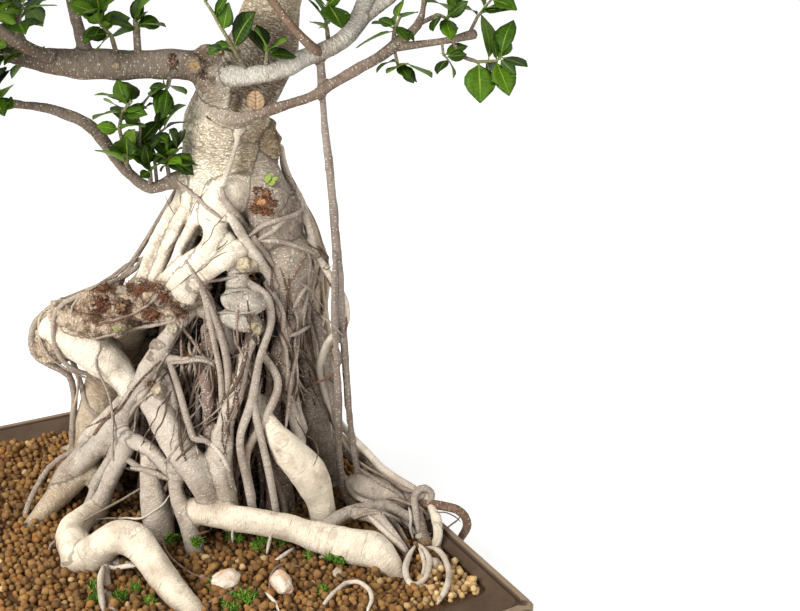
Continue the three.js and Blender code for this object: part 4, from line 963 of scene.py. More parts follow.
def sheltered(piece, coords, normals, tree):
    rng = np.random.default_rng(5)
    ways = rng.normal(size=(len(coords), crevice["rays"], 3))
    ways /= np.linalg.norm(ways, axis=2)[..., None]
    ways += crevice["lean"] * normals[:, None]
    starts = coords + crevice["clear"] * normals
    deep = np.zeros(len(coords))
    for i, start in enumerate(starts):
        start = Vector(start)
        for way in ways[i]:
            distance = tree.ray_cast(start, Vector(way), crevice["reach"])[3]
            if distance is not None:
                deep[i] += 1 - crevice["nearer"] * distance / crevice["reach"]
    deep /= crevice["rays"]
    ends = np.zeros(2 * len(piece.data.edges), int)
    piece.data.edges.foreach_get("vertices", ends)
    first, second = ends.reshape(-1, 2).T
    links = np.bincount(ends, minlength=len(deep))
    for _ in range(crevice["evened"]):
        sums = np.bincount(first, deep[second], len(deep)) + np.bincount(second, deep[first], len(deep))
        deep = (deep + sums) / (1 + links)
    return smoothstep(deep, *crevice["range"])


# Painted shade: darkens the tint towards the crevice colour by how sheltered each point is
def paintCreviceShade(piece, coords, normals, tint, tree):
    return blendTint(tint, crevice["share"] * sheltered(piece, coords, normals, tree), crevice["colour"])


# Thick limbs grow together into one mass, and thin ones stay tubes
def plantLimbs():
    rng = random.Random(11)
    thick, thin = newTubes(), newTubes()
    for kind, route in plannedLimbs():
        widest = max(point[3] for point in route)
        look = lookOf(kind, rng)
        if widest < wood["thinBelow"]:
            addTube(thin, smoothRoute(route, wood["thinStep"]), 9, look)
            continue
        first = len(thick["coords"])
        sides = 16 if widest > wood["thickAbove"] else 12
        addTube(thick, smoothRoute(route, wood["thickStep"]), sides, look)
        if route is trunkRoute:
            thick["coords"][first:] = [hollowed(ring) for ring in thick["coords"][first:]]
        # Above coreShownFrom the core takes the shoulder look; below it keeps its near-black painted shade
        if kind == "core":
            for i in range(first, len(thick["looks"])):
                if thick["samples"][i][2] > wood["coreShownFrom"]:
                    thick["looks"][i] = lookOf("shoulder", rng)
    return thick, thin


def growWood(limbs):
    mass = meshPiece("wood", np.vstack(limbs["coords"]), limbs["faces"])
    modify(mass, "REMESH", mode="VOXEL", voxel_size=wood["voxel"], use_smooth_shade=True)
    modify(mass, "SMOOTH", factor=0.5, iterations=wood["relax"])
    modify(mass, "DECIMATE", ratio=wood["kept"])
    print("wood joined:", len(mass.data.polygons), "faces")
    coords = readPoints(mass, "co")
    looks, grain, girth = readLimbs(coords, limbs)
    normals = readPoints(mass, "normal")
    coords += normals * reliefOf(coords, looks, girth)[:, None]
    moveTo(mass, coords)
    tree = BVHTree.FromObject(mass, bpy.context.evaluated_depsgraph_get())
    tint = weathered(coords, normals, looks)
    # Painted shade in the crevices of the wood
    tint = paintCreviceShade(mass, coords, readPoints(mass, "normal"), tint, tree)
    recordBark(mass, grain, tint, looks[:, 3], looks[:, 4])
    return mass, tree


def halved(piece, name, height, upper):
    half = piece.copy()
    half.data = piece.data.copy()
    half.name = name
    bpy.context.scene.collection.objects.link(half)
    activate(half)
    bpy.ops.object.mode_set(mode="EDIT")
    bpy.ops.mesh.select_all(action="SELECT")
    bpy.ops.mesh.bisect(plane_co=(0, 0, height), plane_no=(0, 0, 1), use_fill=True,
                        clear_inner=upper, clear_outer=not upper)
    bpy.ops.object.mode_set(mode="OBJECT")
    smoothPiece(half, wood["splitAngle"])
    finishPiece(half, "bark", bark, "wood")
    return half


thickWood, thinWood = plantLimbs()
mass, woodTree = growWood(thickWood)
crownWood = halved(mass, "woodAbove", wood["splitAt"], True)
rootWood = halved(mass, "woodBelow", wood["splitAt"], False)
bpy.data.objects.remove(mass)
print("wood grown")

# Leaves stand on stems as in the solids: listed one by one where the photograph shows them, else by rule
leafForm = {
    "rows": [0, 0.07, 0.13, 0.24, 0.4, 0.58, 0.75, 0.9, 1.0],
    "halfWidths": [0.035, 0.03, 0.12, 0.33, 0.47, 0.49, 0.38, 0.17, 0.015],
    "columns": [-1, -0.5, 0, 0.5, 1],
    "cup": 0.2,
    "droop": 0.07,
    "wave": 0.0006,
    "thick": 0.0005,
    "sink": 0.0004,
    "length": 40,
    "width": 21,
    "tints": [(32, 50, 6), (44, 68, 8), (57, 86, 11), (80, 110, 22), (136, 150, 74)],
    "oldest": 3.2,
}
# Listed blades: broader than the solids', and small leaves between them by the start of a spray's name
handmade = {
    "broader": 1.24,
    "extras": {"low_left": 9, "left": 6, "right": 3, "inner": 3},
    "fewest": 2,
    "length": (0.018, 0.033),
    "slender": 0.58,
}
# By rule: leaves round the stem, more between them, and leafy twigs at the side
ruled = {
    "counts": {"top": 7},
    "count": 6,
    "extra": 4,
    "twigsAt": (0.05, 0.3, 0.55, 0.8),
    "twigLength": (22, 42),
    "twigThick": 1.2,
}
stem = {"straight": 0.005, "taper": 0.4, "sides": 7, "twigSides": 6, "lobes": 0.03}
twigLeaves = {"count": 7, "outside": 0.018}
stemLook = [*shade(124, 122, 84), 0.2, 0.2, 0.0]
treeFront = turned((0.1, -0.9, 0.5)).normalized()
treeMiddle = turned((60, 70, 0))


# The same draws as in the part's source
def draws(seed):
    state = [seed]

    def draw():
        state[0] = (1664525 * state[0] + 1013904223) % 2**32
        return state[0] / 2**32

    return draw


def stemPoints(root, places):
    twig = root
    if isinstance(root, str):
        twig = trunkRoute if root == "trunk" else branches[root]
    before, joint = (turned(point) for point in twig[-2:])
    straight = joint + (joint - before).normalized() * stem["straight"]
    return [joint, straight, *(turned(point) for point in places)]


def pointAlong(points, share):
    reach = min(share, 0.96) * (len(points) - 1)
    i = min(int(reach), len(points) - 2)
    return points[i].lerp(points[i + 1], reach - i), (points[i + 1] - points[i]).normalized()


def sideAndAbove(along):
    side = skyward.cross(along).normalized()
    return side, along.cross(side).normalized()


def strayed(rng, most):
    return Vector([rng.uniform(-most, most) for _ in range(3)])


# The level way from the tree's middle to a point
def outwardAt(point):
    outward = point - treeMiddle
    outward.z = 0
    return outward.normalized()


def newLeaves():
    return {"coords": [], "faces": [], "at": [], "under": [], "tint": [], "count": 0}


# A leaf's two faces share the points of its rim
def leafFaces():
    rows, columns = len(leafForm["rows"]), len(leafForm["columns"])
    top = {}
    bottom = {}
    for i in range(rows):
        for j in range(columns):
            top[i, j] = i * columns + j
            rim = j in (0, columns - 1) or i in (0, rows - 1)
            bottom[i, j] = top[i, j] if rim else rows * columns + (i - 1) * (columns - 2) + j - 1
    faces = []
    for i in range(rows - 1):
        for j in range(columns - 1):
            corners = [(i, j), (i, j + 1), (i + 1, j + 1), (i + 1, j)]
            faces.append(tuple(top[c] for c in corners))
            faces.append(tuple(bottom[c] for c in reversed(corners)))
    return faces


leafQuads = leafFaces()


def addLeaf(leaves, base, tip, width, facing, rng, age=None):
    length = (tip - base).length
    along = (tip - base).normalized()
    across = along.cross(facing).normalized()
    normal = across.cross(along).normalized()
    width = width * millimetre
    twist = rng.uniform(-0.25, 0.25)
    cup = leafForm["cup"] * rng.uniform(0.6, 1.3)
    droop = leafForm["droop"] * rng.uniform(0.3, 1.6) * length
    fold = rng.uniform(0.7, 1.2)
    tops, bottoms, at, atUnder = [], [], [], []
    rows, columns = leafForm["rows"], leafForm["columns"]
    for i, (share, half) in enumerate(zip(rows, leafForm["halfWidths"])):
        for j, s in enumerate(columns):
            reach = s * half * width
            lift = cup * abs(s) ** 1.4 * half * width * fold + droop * 4 * share * (1 - share)
            lift += reach * twist * share
            wave = leafForm["wave"] * math.sin(9 * share + 3 * s + twist * 20) * abs(s)
            point = base + along * share * length + across * reach + normal * (lift + wave)
            rim = j in (0, len(columns) - 1) or i in (0, len(rows) - 1)
            tops.append(point + normal * (0 if rim else leafForm["thick"] / 2))
            at.append((s * 0.5 * min(1, half * 3), share, 0))
            if not rim:
                bottoms.append(point - normal * leafForm["thick"] / 2)
                atUnder.append(at[-1])
    start = leaves["count"]
    leaves["coords"] += tops + bottoms
    leaves["faces"] += [tuple(start + k for k in quad) for quad in leafQuads]
    leaves["at"] += at + atUnder
    leaves["under"] += [0.0] * len(tops) + [1.0] * len(bottoms)
    leaves["tint"] += [leafTint(rng, age)] * (len(tops) + len(bottoms))
    leaves["count"] += len(tops) + len(bottoms)


# The tint goes with the leaf's age, from the darkest to the newest
def leafTint(rng, age):
    if age is None:
        age = rng.random() ** 1.2 * leafForm["oldest"]
    tints = leafForm["tints"]
    low, high = shade(*tints[int(age)]), shade(*tints[min(int(age) + 1, len(tints) - 1)])
    return [a + (b - a) * (age % 1) for a, b in zip(low, high)]


def leavesPiece(name, leaves):
    piece = meshPiece(name, leaves["coords"], leaves["faces"])
    record(piece, "leafAt", leaves["at"])
    record(piece, "tint", leaves["tint"])
    record(piece, "under", leaves["under"])
    smoothPiece(piece)
    return piece


def ruledLeaves(leaves, points, count, seed, rng):
    draw = draws(seed)
    extra = ruled["extra"]
    for i in range(count + extra):
        share = 0.3 + (0.7 * (i + 0.5)) / count if i < count else 0.12 + 0.8 * (i - count + 0.3) / extra
        point, along = pointAlong(points, share)
        side, above = sideAndAbove(along)
        angle = i * goldenAngle + (draw() - 0.5) * 0.6
        spread = 1.15 - 0.75 * share + (draw() - 0.5) * 0.3
        heading = along * math.cos(spread) + side * math.sin(spread) * math.cos(angle)
        heading += above * math.sin(spread) * math.sin(angle)
        heading.z -= 0.12
        heading.normalize()
        size = 0.75 + 0.35 * draw()
        facing = Vector((0, 0, 0.75)) + outwardAt(point) * 0.55
        facing += Vector((draw() - 0.5, draw() - 0.5, draw() - 0.5)) * 0.9
        length = leafForm["length"] * size * millimetre
        base = point + heading * leafForm["sink"]
        addLeaf(leaves, base, point + heading * length, leafForm["width"] * size * 1.1, facing, rng)


def placedLeaves(leaves, points, blades, rng):
    for share, end, width, roll in blades:
        tip = turned(end)
        base = pointAlong(points, share)[0]
        base = base + (tip - base).normalized() * leafForm["sink"]
        side = (tip - base).cross(treeFront).normalized()
        angle = math.radians(roll)
        facing = treeFront * math.cos(angle) + side * math.sin(angle)
        addLeaf(leaves, base, tip, width * handmade["broader"], facing, rng)


def fillingLeaves(leaves, points, name, rng):
    counts = [count for start, count in handmade["extras"].items() if name.startswith(start)]
    for _ in range(counts[0] if counts else handmade["fewest"]):
        point, along = pointAlong(points, rng.uniform(0.1, 1))
        side = along.cross(treeFront).normalized()
        angle = rng.uniform(0, wholeTurn)
        heading = along * rng.uniform(0.1, 0.7) + side * math.cos(angle) + treeFront * math.sin(angle) * 0.6
        heading.normalize()
        facing = treeFront + Vector((0, 0, 0.5)) + strayed(rng, 0.8)
        length = rng.uniform(*handmade["length"])
        base = point + heading * leafForm["sink"]
        width = length / millimetre * handmade["slender"]
        addLeaf(leaves, base, point + heading * length, width, facing, rng)


# Whether a leaf's tip stays near enough to the solids' box
def inReach(tip):
    low, high = cadBox
    spare = twigLeaves["outside"]
    return all(low[k] - spare < tip[k] < high[k] + spare for k in range(3))


# A twig with leaves round it that spread outwards and face up
def leafyTwig(stems, leaves, point, heading, length, thick, rng):
    middle = point + heading * length * 0.5
    end = middle + (heading + Vector((0, 0, 0.25))).normalized() * length * 0.5
    rows = [[*point, thick], [*middle, thick * 0.8], [*end, thick * 0.55]]
    addTube(stems, np.array(rows), stem["twigSides"], stemLook, stem["lobes"])
    outward = outwardAt(point)
    count = twigLeaves["count"]
    for k in range(count):
        base, along = pointAlong([point, middle, end], 0.2 + 0.8 * (k + 0.5) / count)
        side, above = sideAndAbove(along)
        angle = k * goldenAngle + rng.uniform(-0.4, 0.4)
        spread = rng.uniform(0.7, 1.15) if k < count - 1 else 0.25
        way = along * math.cos(spread)
        way += (side * math.cos(angle) + above * math.sin(angle) * 0.6) * math.sin(spread)
        way.z -= rng.uniform(0, 0.3)
        way.normalize()
        size = rng.uniform(0.6, 1.0)
        facing = skyward + outward * 0.4 + strayed(rng, 0.4)
        tip = base + way * leafForm["length"] * size * millimetre
        if not inReach(tip):
            continue
        addLeaf(leaves, base + way * leafForm["sink"], tip, leafForm["width"] * size * 1.15, facing, rng)


# Side twigs thicken the foliage of the sprays that stand by rule
def growSideTwigs(stems, leaves, points, seed, rng):
    for i, share in enumerate(ruled["twigsAt"]):
        point, along = pointAlong(points, share)
        side, above = sideAndAbove(along)
        angle = i * goldenAngle + seed
        heading = along * 0.55 + side * math.cos(angle) + above * math.sin(angle)
        heading.z += 0.25
        heading.normalize()
        length = rng.uniform(*ruled["twigLength"]) * millimetre
        leafyTwig(stems, leaves, point, heading, length, ruled["twigThick"] * millimetre, rng)


def dressSprays():
    rng = random.Random(5)
    for name, root, places, thick, blades in sprays:
        stems, leaves = newTubes(), newLeaves()
        points = stemPoints(root, places)
        last = len(points) - 1
        radii = [thick * millimetre * (1 - stem["taper"] * i / last) for i in range(len(points))]
        line = np.array([[*point, radius] for point, radius in zip(points, radii)])
        addTube(stems, line, stem["sides"], stemLook, stem["lobes"])
        if isinstance(blades, list):
            placedLeaves(leaves, points, blades, rng)
            fillingLeaves(leaves, points, name, rng)
        else:
            ruledLeaves(leaves, points, ruled["counts"].get(name, ruled["count"]), blades, rng)
            growSideTwigs(stems, leaves, points, blades, rng)
        piece = "spray" + "".join(word.capitalize() for word in name.split("_"))
        finishPiece(tubePiece(piece + "Stem", stems), "leaf", bark, "spray_" + name)
        finishPiece(leavesPiece(piece + "Leaves", leaves), "leaf", leafFinish, "spray_" + name)


dressSprays()

# Leafy twigs by rule along the crown's branches, kept out of the photograph's frame by pixels
crownTwigs = {
    "pitch": 0.024,
    "step": 0.004,
    "from": 0.3,
    "length": (26, 52),
    "thick": 1.5,
    "clear": 30,
    "photoLeft": 95,
    "routes": (
        "crownLeft", "crownLeftFront", "crownRightBack", "crownBack", "crownLeftBack", "topFront", "lowBack",
        "left", "leftFront", "leftBack", "leftRise", "pale", "paleFork", "brown", "lower",
    ),
}


# Whether a place, with leaves round it, would show where the photograph shows none
def wouldShow(point):
    sideways = turned((1, 0, 0)).normalized()
    forward = ahead.normalized()
    offset = point - eye
    scale = view["focal"] / offset.dot(forward)
    u = view["frame"][0] / 2 + offset.dot(sideways) * scale
    v = view["frame"][1] / 2 - offset.dot(sideways.cross(forward)) * scale
    return u > crownTwigs["photoLeft"] - crownTwigs["clear"] and v > -crownTwigs["clear"]


def fillCrown():
    rng = random.Random(17)
    stems, leaves = newTubes(), newLeaves()
    for order, name in enumerate(crownTwigs["routes"]):
        line = smoothRoute(branches[name], crownTwigs["step"])
        run = np.concatenate([[0], np.cumsum(np.linalg.norm(np.diff(line[:, :3], axis=0), axis=1))])
        at = crownTwigs["from"] * run[-1]
        turn = order * 1.3
        while at < run[-1]:
            i = int(np.searchsorted(run, at))
            point = Vector(line[i, :3])
            along = (Vector(line[min(i + 1, len(line) - 1), :3]) - Vector(line[i - 1, :3])).normalized()
            side, above = sideAndAbove(along)
            heading = along * 0.6 + side * math.cos(turn) + above * math.sin(turn)
            heading.z += 0.35
            heading.normalize()
            length = rng.uniform(*crownTwigs["length"]) * millimetre
            if not wouldShow(point) and not wouldShow(point + heading * length * 1.4):
                leafyTwig(stems, leaves, point, heading, length, crownTwigs["thick"] * millimetre, rng)
            at += crownTwigs["pitch"] * rng.uniform(0.8, 1.3)
            turn += goldenAngle
    finishPiece(tubePiece("crownTwigStems", stems), "leaf", bark)
    finishPiece(leavesPiece("crownTwigLeaves", leaves), "leaf", leafFinish)


fillCrown()
print("sprays dressed")

# The pot rises ring by ring from its foot, by (inset, height), and is cut by two drain holes
pot = {
    "length": 0.65,
    "width": 0.48,
    "profile": [
        (0.031, 0), (0.028, 0.003), (0.028, 0.009), (0.025, 0.012), (0.008, 0.098), (0, 0.104), (0, 0.118),
        (0.002, 0.12), (0.0085, 0.12), (0.0092, 0.1172), (0.0112, 0.117), (0.012, 0.118),
    ],
    "cornerRadius": 0.009,
    "cornerSegments": 4,
    "softEdge": 0.0012,
    "softAngle": 28,
    "smoothAngle": 35,
    "soilLength": 0.553,
    "soilWidth": 0.431,
    "floorTop": 0.014,
    "drain": 0.014,
    "drainDepth": 0.06,
    "drainFromCentre": 0.15,
    "highlightAbove": 0.1172,
    "highlightWithin": 0.0088,
    "groove": (0.0104, 0.0016, 0.116),
}


def raisedPot():
    rings = [(pot["length"] - 2 * inset, pot["width"] - 2 * inset, z) for inset, z in pot["profile"]]
    rings.append((pot["soilLength"], pot["soilWidth"], soilTop))
    rings.append((pot["soilLength"], pot["soilWidth"], pot["floorTop"]))
    bpy.ops.object.select_all(action="DESELECT")
    bpy.ops.mesh.primitive_plane_add(size=1)
    piece = bpy.context.object
    piece.name = "clayPot"
    piece.scale = (rings[0][0], rings[0][1], 1)
    bpy.ops.object.transform_apply(scale=True)
    bpy.ops.object.mode_set(mode="EDIT")
    bpy.ops.mesh.select_all(action="SELECT")
    for before, after in zip(rings, rings[1:]):
        bpy.ops.mesh.extrude_region_move(TRANSFORM_OT_translate={"value": (0, 0, after[2] - before[2])})
        bpy.ops.transform.resize(value=(after[0] / before[0], after[1] / before[1], 1))
    bpy.ops.mesh.select_all(action="SELECT")
    bpy.ops.mesh.normals_make_consistent(inside=False)
    bpy.ops.object.mode_set(mode="OBJECT")
    return piece


# Edges that stay on one side of both middles are the corners' own
def roundCorners(piece):
    mesh = bmesh.new()
    mesh.from_mesh(piece.data)
    mesh.edges.ensure_lookup_table()
    corners = []
    for edge in mesh.edges:
        a, b = (v.co for v in edge.verts)
        if a.x * b.x > 0 and a.y * b.y > 0:
            corners.append(edge)
    bmesh.ops.bevel(mesh, geom=corners, offset=pot["cornerRadius"], segments=pot["cornerSegments"],
                    profile=0.5, affect="EDGES", clamp_overlap=True)
    mesh.to_mesh(piece.data)
    mesh.free()


def throwPot():
    piece = raisedPot()
    roundCorners(piece)
    modify(piece, "BEVEL", width=pot["softEdge"], segments=2, limit_method="ANGLE",
           angle_limit=math.radians(pot["softAngle"]))
    for x in (-pot["drainFromCentre"], pot["drainFromCentre"]):
        bpy.ops.object.select_all(action="DESELECT")
        bpy.ops.mesh.primitive_cylinder_add(vertices=32, radius=pot["drain"], depth=pot["drainDepth"],
                                            location=(x, 0, 0))
        cutter = bpy.context.object
        modify(piece, "BOOLEAN", object=cutter, operation="DIFFERENCE", solver="EXACT")
        bpy.data.objects.remove(cutter)
    smoothPiece(piece, pot["smoothAngle"])
    coords = readPoints(piece, "co")
    inset = np.minimum(pot["length"] / 2 - abs(coords[:, 0]), pot["width"] / 2 - abs(coords[:, 1]))
    # Painted light: 1 marks the rim's painted highlight and nought the groove's painted shade
    worn = np.where((coords[:, 2] > pot["highlightAbove"]) & (inset < pot["highlightWithin"]), 1.0, 0.5)
    middle, half, above = pot["groove"]
    worn[(abs(inset - middle) < half) & (coords[:, 2] > above)] = 0
    record(piece, "worn", worn)
    return piece


finishPiece(throwPot(), "clay", clay, "pot")
print("pot thrown")

# Granules lie on the soil wherever no wood stands, with painted shade: darker the more wood is over them
granules = {
    "pitch": 0.0076,
    "rowPitch": 0.87,
    "stray": 0.002,
    "radii": (0.0025, 0.005),
    "stretch": (0.85, 1.15),
    "lump": 0.16,
    "raised": 0.35,
    "upper": 0.22,
    "upperLift": 0.0048,
    "inset": 0.003,
    "clear": 0.0012,
    "brown": [(134, 100, 62), (142, 106, 64), (122, 90, 55), (152, 114, 68), (104, 76, 47), (146, 100, 56)],
    "tan": [(196, 162, 112), (184, 148, 100), (204, 172, 124)],
    "tanCorner": (0.262, 0.2),
    "tanReach": 0.05,
    "tanLeast": 0.03,
    "lift": (0.74, 1.24),
    "shade": 0.85,
    "shadeReach": 0.16,
    "shadeWays": 6,
}


# A granule: the sphere stretched, lumped and turned
def granuleBody(form, radius, rng):
    turn = rng.uniform(0, 6.28)
    stretch = np.array([rng.uniform(*granules["stretch"]) for _ in range(3)]) * radius
    lumps = np.sin(form @ np.array([[rng.uniform(1, 4)] for _ in range(3)]) + turn)
    body = form * (1 + granules["lump"] * lumps) * stretch
    spun = body.copy()
    spun[:, 0] = body[:, 0] * math.cos(turn) - body[:, 1] * math.sin(turn)
    spun[:, 1] = body[:, 0] * math.sin(turn) + body[:, 1] * math.cos(turn)
    return spun


def granuleTint(x, y, shaded, rng):
    offset = Vector((x, y, 0)) - Vector((*granules["tanCorner"], 0))
    share = 1.3 - offset.length / granules["tanReach"]
    pale = rng.random() < max(granules["tanLeast"], share)
    tint = shade(*rng.choice(granules["tan"] if pale else granules["brown"]))
    # Painted shade darkens the granule by how much wood is over it
    lift = rng.uniform(*granules["lift"]) * (1 - granules["shade"] * shaded ** 1.5)
    return [c * lift for c in tint]


def scatterGranules():
    rng = random.Random(3)
    form, faces = formOf(bpy.ops.mesh.primitive_uv_sphere_add, segments=6, ring_count=4, radius=1)
    soilTree = BVHTree.FromObject(nodes["soil"], bpy.context.evaluated_depsgraph_get())
    coords, quads, tints = [], [], []
    halfLength = pot["soilLength"] / 2 - granules["inset"]
    halfWidth = pot["soilWidth"] / 2 - granules["inset"]
    pitch, stray = granules["pitch"], granules["stray"]
    rowPitch = pitch * granules["rowPitch"]
    circle = range(granules["shadeWays"])
    ways = [skyward, *(Vector((math.cos(k), math.sin(k), 0.8)).normalized() for k in circle)]
    for j in range(int(2 * halfWidth / rowPitch) + 1):
        for i in range(int(2 * halfLength / pitch) + 1):
            for layer in range(2):
                if layer and rng.random() > granules["upper"]:
                    continue
                x = -halfLength + (i + 0.5 * (j % 2)) * pitch + rng.uniform(-stray, stray)
                y = -halfWidth + j * rowPitch + rng.uniform(-stray, stray)
                radius = rng.uniform(*granules["radii"])
                x = max(-halfLength, min(halfLength, x))
                y = max(-halfWidth, min(halfWidth, y))
                hit = soilTree.ray_cast(Vector((x, y, 0.2)), -skyward)[0]
                if hit is None:
                    continue
                lift = radius * granules["raised"] + layer * granules["upperLift"]
                place = hit + Vector((0, 0, lift))
                near, normal, _, gap = woodTree.find_nearest(place)
                if gap < granules["clear"] or (place - near).dot(normal) < 0:
                    continue
                # Painted shade: the share of rays from the granule that meet the wood
                over = [woodTree.ray_cast(place, way, granules["shadeReach"])[0] for way in ways]
                shaded = sum(hit is not None for hit in over) / len(ways)
                start = len(coords) * len(form)
                coords.append(granuleBody(form, radius, rng) + np.array(place))
                quads += [tuple(start + k for k in face) for face in faces]
                tints.append(granuleTint(x, y, shaded, rng))
    piece = meshPiece("granules", np.vstack(coords), quads)
    record(piece, "tint", np.repeat(np.array(tints), len(form), axis=0))
    smoothPiece(piece)
    return piece


finishPiece(scatterGranules(), "granules", granuleFinish)
nodes["soil"].data.materials.clear()
nodes["soil"].data.materials.append(darkBed)
print("soil laid")

# Thin roots that lie on the wood or the soil, by kind: (half width, points), in pixels of the photograph
surfaceRoots = {
    "grey": [
        (3.6, [(419, 535), (417, 520), (414, 505), (415, 494), (421, 488), (429, 489), (433, 495),
            (430, 502), (422, 505)]),
        (3.2, [(355, 447), (363, 451), (371, 458), (380, 469), (392, 480), (404, 489), (415, 493)]),
        (2.4, [(372, 505), (384, 512), (396, 524), (404, 536), (410, 548)]),
        (2.0, [(384, 498), (396, 499), (408, 503), (420, 508), (430, 517)]),
        (2.6, [(344, 478), (350, 492), (362, 500), (376, 503)]),
        (2.2, [(352, 520), (368, 513), (384, 514), (398, 520), (408, 530)]),
        (4.4, [(221, 186), (224, 200), (234, 212), (245, 226), (256, 243), (266, 256), (275, 268)]),
        (2.2, [(176, 180), (192, 194), (208, 208), (222, 219)]),
        (2.6, [(247, 237), (264, 225), (278, 220), (296, 215), (304, 206)]),
        (2.4, [(255, 242), (273, 231), (283, 221), (290, 214)]),
        (2.8, [(254, 240), (278, 241), (297, 246), (311, 252), (318, 256)]),
        (2.6, [(314, 262), (310, 281), (296, 303), (291, 313)]),
        (2.2, [(312, 274), (307, 298), (302, 317)]),
        (2.0, [(200, 282), (224, 279), (240, 276)]),
        (1.6, [(212, 313), (233, 313), (249, 312), (266, 307)]),
        (1.5, [(95, 324), (111, 320), (128, 316), (143, 308), (157, 298), (165, 282)]),
        (2.0, [(92, 339), (106, 336), (125, 331), (143, 327), (165, 323), (180, 320)]),
        (2.4, [(203, 286), (206, 300), (211, 314), (216, 332), (224, 353), (227, 367), (225, 392)]),
        (2.2, [(184, 258), (194, 274), (203, 288), (213, 300), (217, 319), (225, 340), (230, 364),
            (234, 380)]),
        (2.7, [(264, 284), (280, 305), (284, 317), (283, 334)]),
        (2.2, [(275, 322), (286, 348), (288, 372), (285, 390)]),
        (2.4, [(300, 322), (297, 353), (291, 376), (288, 412), (285, 430)]),
        (2.2, [(286, 338), (300, 332), (312, 324)]),
        (2.2, [(149, 396), (136, 405), (128, 421)]),
        (2.4, [(170, 364), (192, 360), (208, 361), (218, 368)]),
        (2.5, [(129, 467), (151, 471), (171, 480)]),
        (3.0, [(398, 517), (409, 525), (417, 536)]),
        (2.6, [(357, 467), (378, 481), (400, 494), (411, 507)]),
        (1.6, [(305, 236), (310, 262), (308, 290), (303, 322), (300, 352)]),
        (1.4, [(262, 330), (268, 352), (262, 378), (256, 402)]),
        (1.8, [(293, 300), (298, 322), (294, 346), (298, 374), (294, 400)]),
        (1.5, [(248, 352), (252, 378), (246, 402), (250, 428)]),
    ],
    "pale": [
        (2.2, [(170, 366), (176, 381), (182, 399), (190, 418), (192, 432), (205, 440), (216, 448),
            (225, 461), (232, 480), (237, 494)]),
        (1.2, [(192, 430), (195, 444), (198, 458)]),
        (1.2, [(94, 519), (118, 519), (145, 518), (162, 505), (172, 493)]),
        (1.6, [(232, 527), (233, 543)]),
        (1.8, [(271, 532), (267, 554)]),
        (1.6, [(264, 592), (275, 601), (280, 613)]),
        (2.2, [(318, 614), (329, 597), (345, 583), (358, 581), (369, 588), (373, 600), (366, 614)]),
        (3.4, [(416, 545), (409, 555), (405, 568), (407, 580), (414, 587), (422, 583), (428, 573),
            (430, 560), (425, 549), (416, 543)]),
        (2.4, [(418, 547), (424, 558), (425, 569), (421, 579)]),
        (2.8, [(425, 547), (437, 549), (445, 557), (449, 568), (448, 581), (444, 592), (437, 604)]),
        (3.0, [(367, 514), (378, 525), (389, 536), (400, 545), (407, 554)]),
        (2.0, [(408, 506), (412, 516), (410, 528), (414, 540)]),
        (2.2, [(433, 520), (441, 530), (440, 541), (434, 550)]),
        (3.4, [(104, 566), (100, 580), (101, 596), (104, 612)]),
        (2.6, [(100, 566), (114, 568), (128, 566), (136, 566)]),
        (2.4, [(295, 548), (283, 555), (273, 562)]),
    ],
    "purple": [
        (1.3, [(160, 530), (164, 547), (177, 564), (194, 575), (212, 580), (231, 584), (251, 594)]),
        (1.3, [(203, 604), (223, 597), (245, 585)]),
        (1.5, [(270, 592), (270, 577), (275, 568), (283, 564), (302, 567)]),
        (1.2, [(182, 542), (199, 533), (212, 530)]),
        (1.7, [(172, 310), (182, 327), (192, 340), (202, 356), (211, 362), (220, 368)]),
        (1.5, [(181, 330), (182, 353), (182, 368), (189, 389), (195, 416)]),
        (1.4, [(240, 300), (236, 322), (238, 344), (232, 366), (236, 392)]),
        (1.5, [(216, 340), (210, 362), (213, 388), (206, 410)]),
    ],
    "brown": [
        (2.5, [(119, 406), (104, 421), (93, 436)]),
        (1.6, [(93, 326), (114, 321), (130, 315), (145, 311)]),
        (1.2, [(308, 253), (297, 271), (283, 292)]),
    ],
    "dark": [
        (0.5, [(236, 246), (226, 254), (214, 258), (204, 268), (190, 276), (176, 288)]),
        (1.2, [(300, 240), (310, 245), (320, 251), (327, 258), (328, 267), (322, 273)]),
        (0.9, [(308, 243), (318, 247), (326, 252), (323, 260), (329, 266), (325, 274), (318, 270)]),
        (0.7, [(312, 250), (322, 249), (330, 256), (324, 264), (330, 272), (321, 276)]),
        (0.6, [(316, 256), (327, 260), (319, 266), (326, 270), (332, 264)]),
        (0.4, [(228, 214), (214, 226), (210, 238), (198, 250)]),
        (0.4, [(212, 186), (198, 200), (188, 220), (180, 234), (164, 256)]),
        (0.6, [(291, 194), (284, 206), (277, 216)]),
        (0.7, [(219, 295), (238, 293), (251, 292)]),
        (0.8, [(228, 274), (243, 273), (258, 271)]),
        (0.8, [(294, 416), (305, 435), (318, 443), (319, 453), (312, 468)]),
        (0.5, [(238, 214), (249, 208), (260, 202)]),
        (0.7, [(166, 294), (176, 303), (184, 316)]),
        (0.6, [(206, 328), (201, 350), (198, 372), (200, 398)]),
        (0.6, [(240, 328), (244, 352), (239, 374)]),
        (0.5, [(166, 196), (170, 210), (178, 216)]),
        (0.5, [(283, 172), (288, 168), (297, 164)]),
        (0.4, [(284, 173), (296, 182), (297, 192), (291, 197)]),
        (0.5, [(200, 214), (216, 222), (232, 224)]),
        (0.5, [(232, 232), (226, 244), (214, 252)]),
        (0.6, [(286, 230), (294, 236), (306, 240)]),
        (0.6, [(264, 300), (262, 318), (266, 334)]),
        (0.9, [(437, 501), (453, 496), (462, 500), (465, 510), (461, 518)]),
        (0.7, [(433, 512), (445, 512), (455, 516), (460, 522)]),
        (0.9, [(437, 529), (446, 529), (455, 522), (461, 514)]),
    ],
}
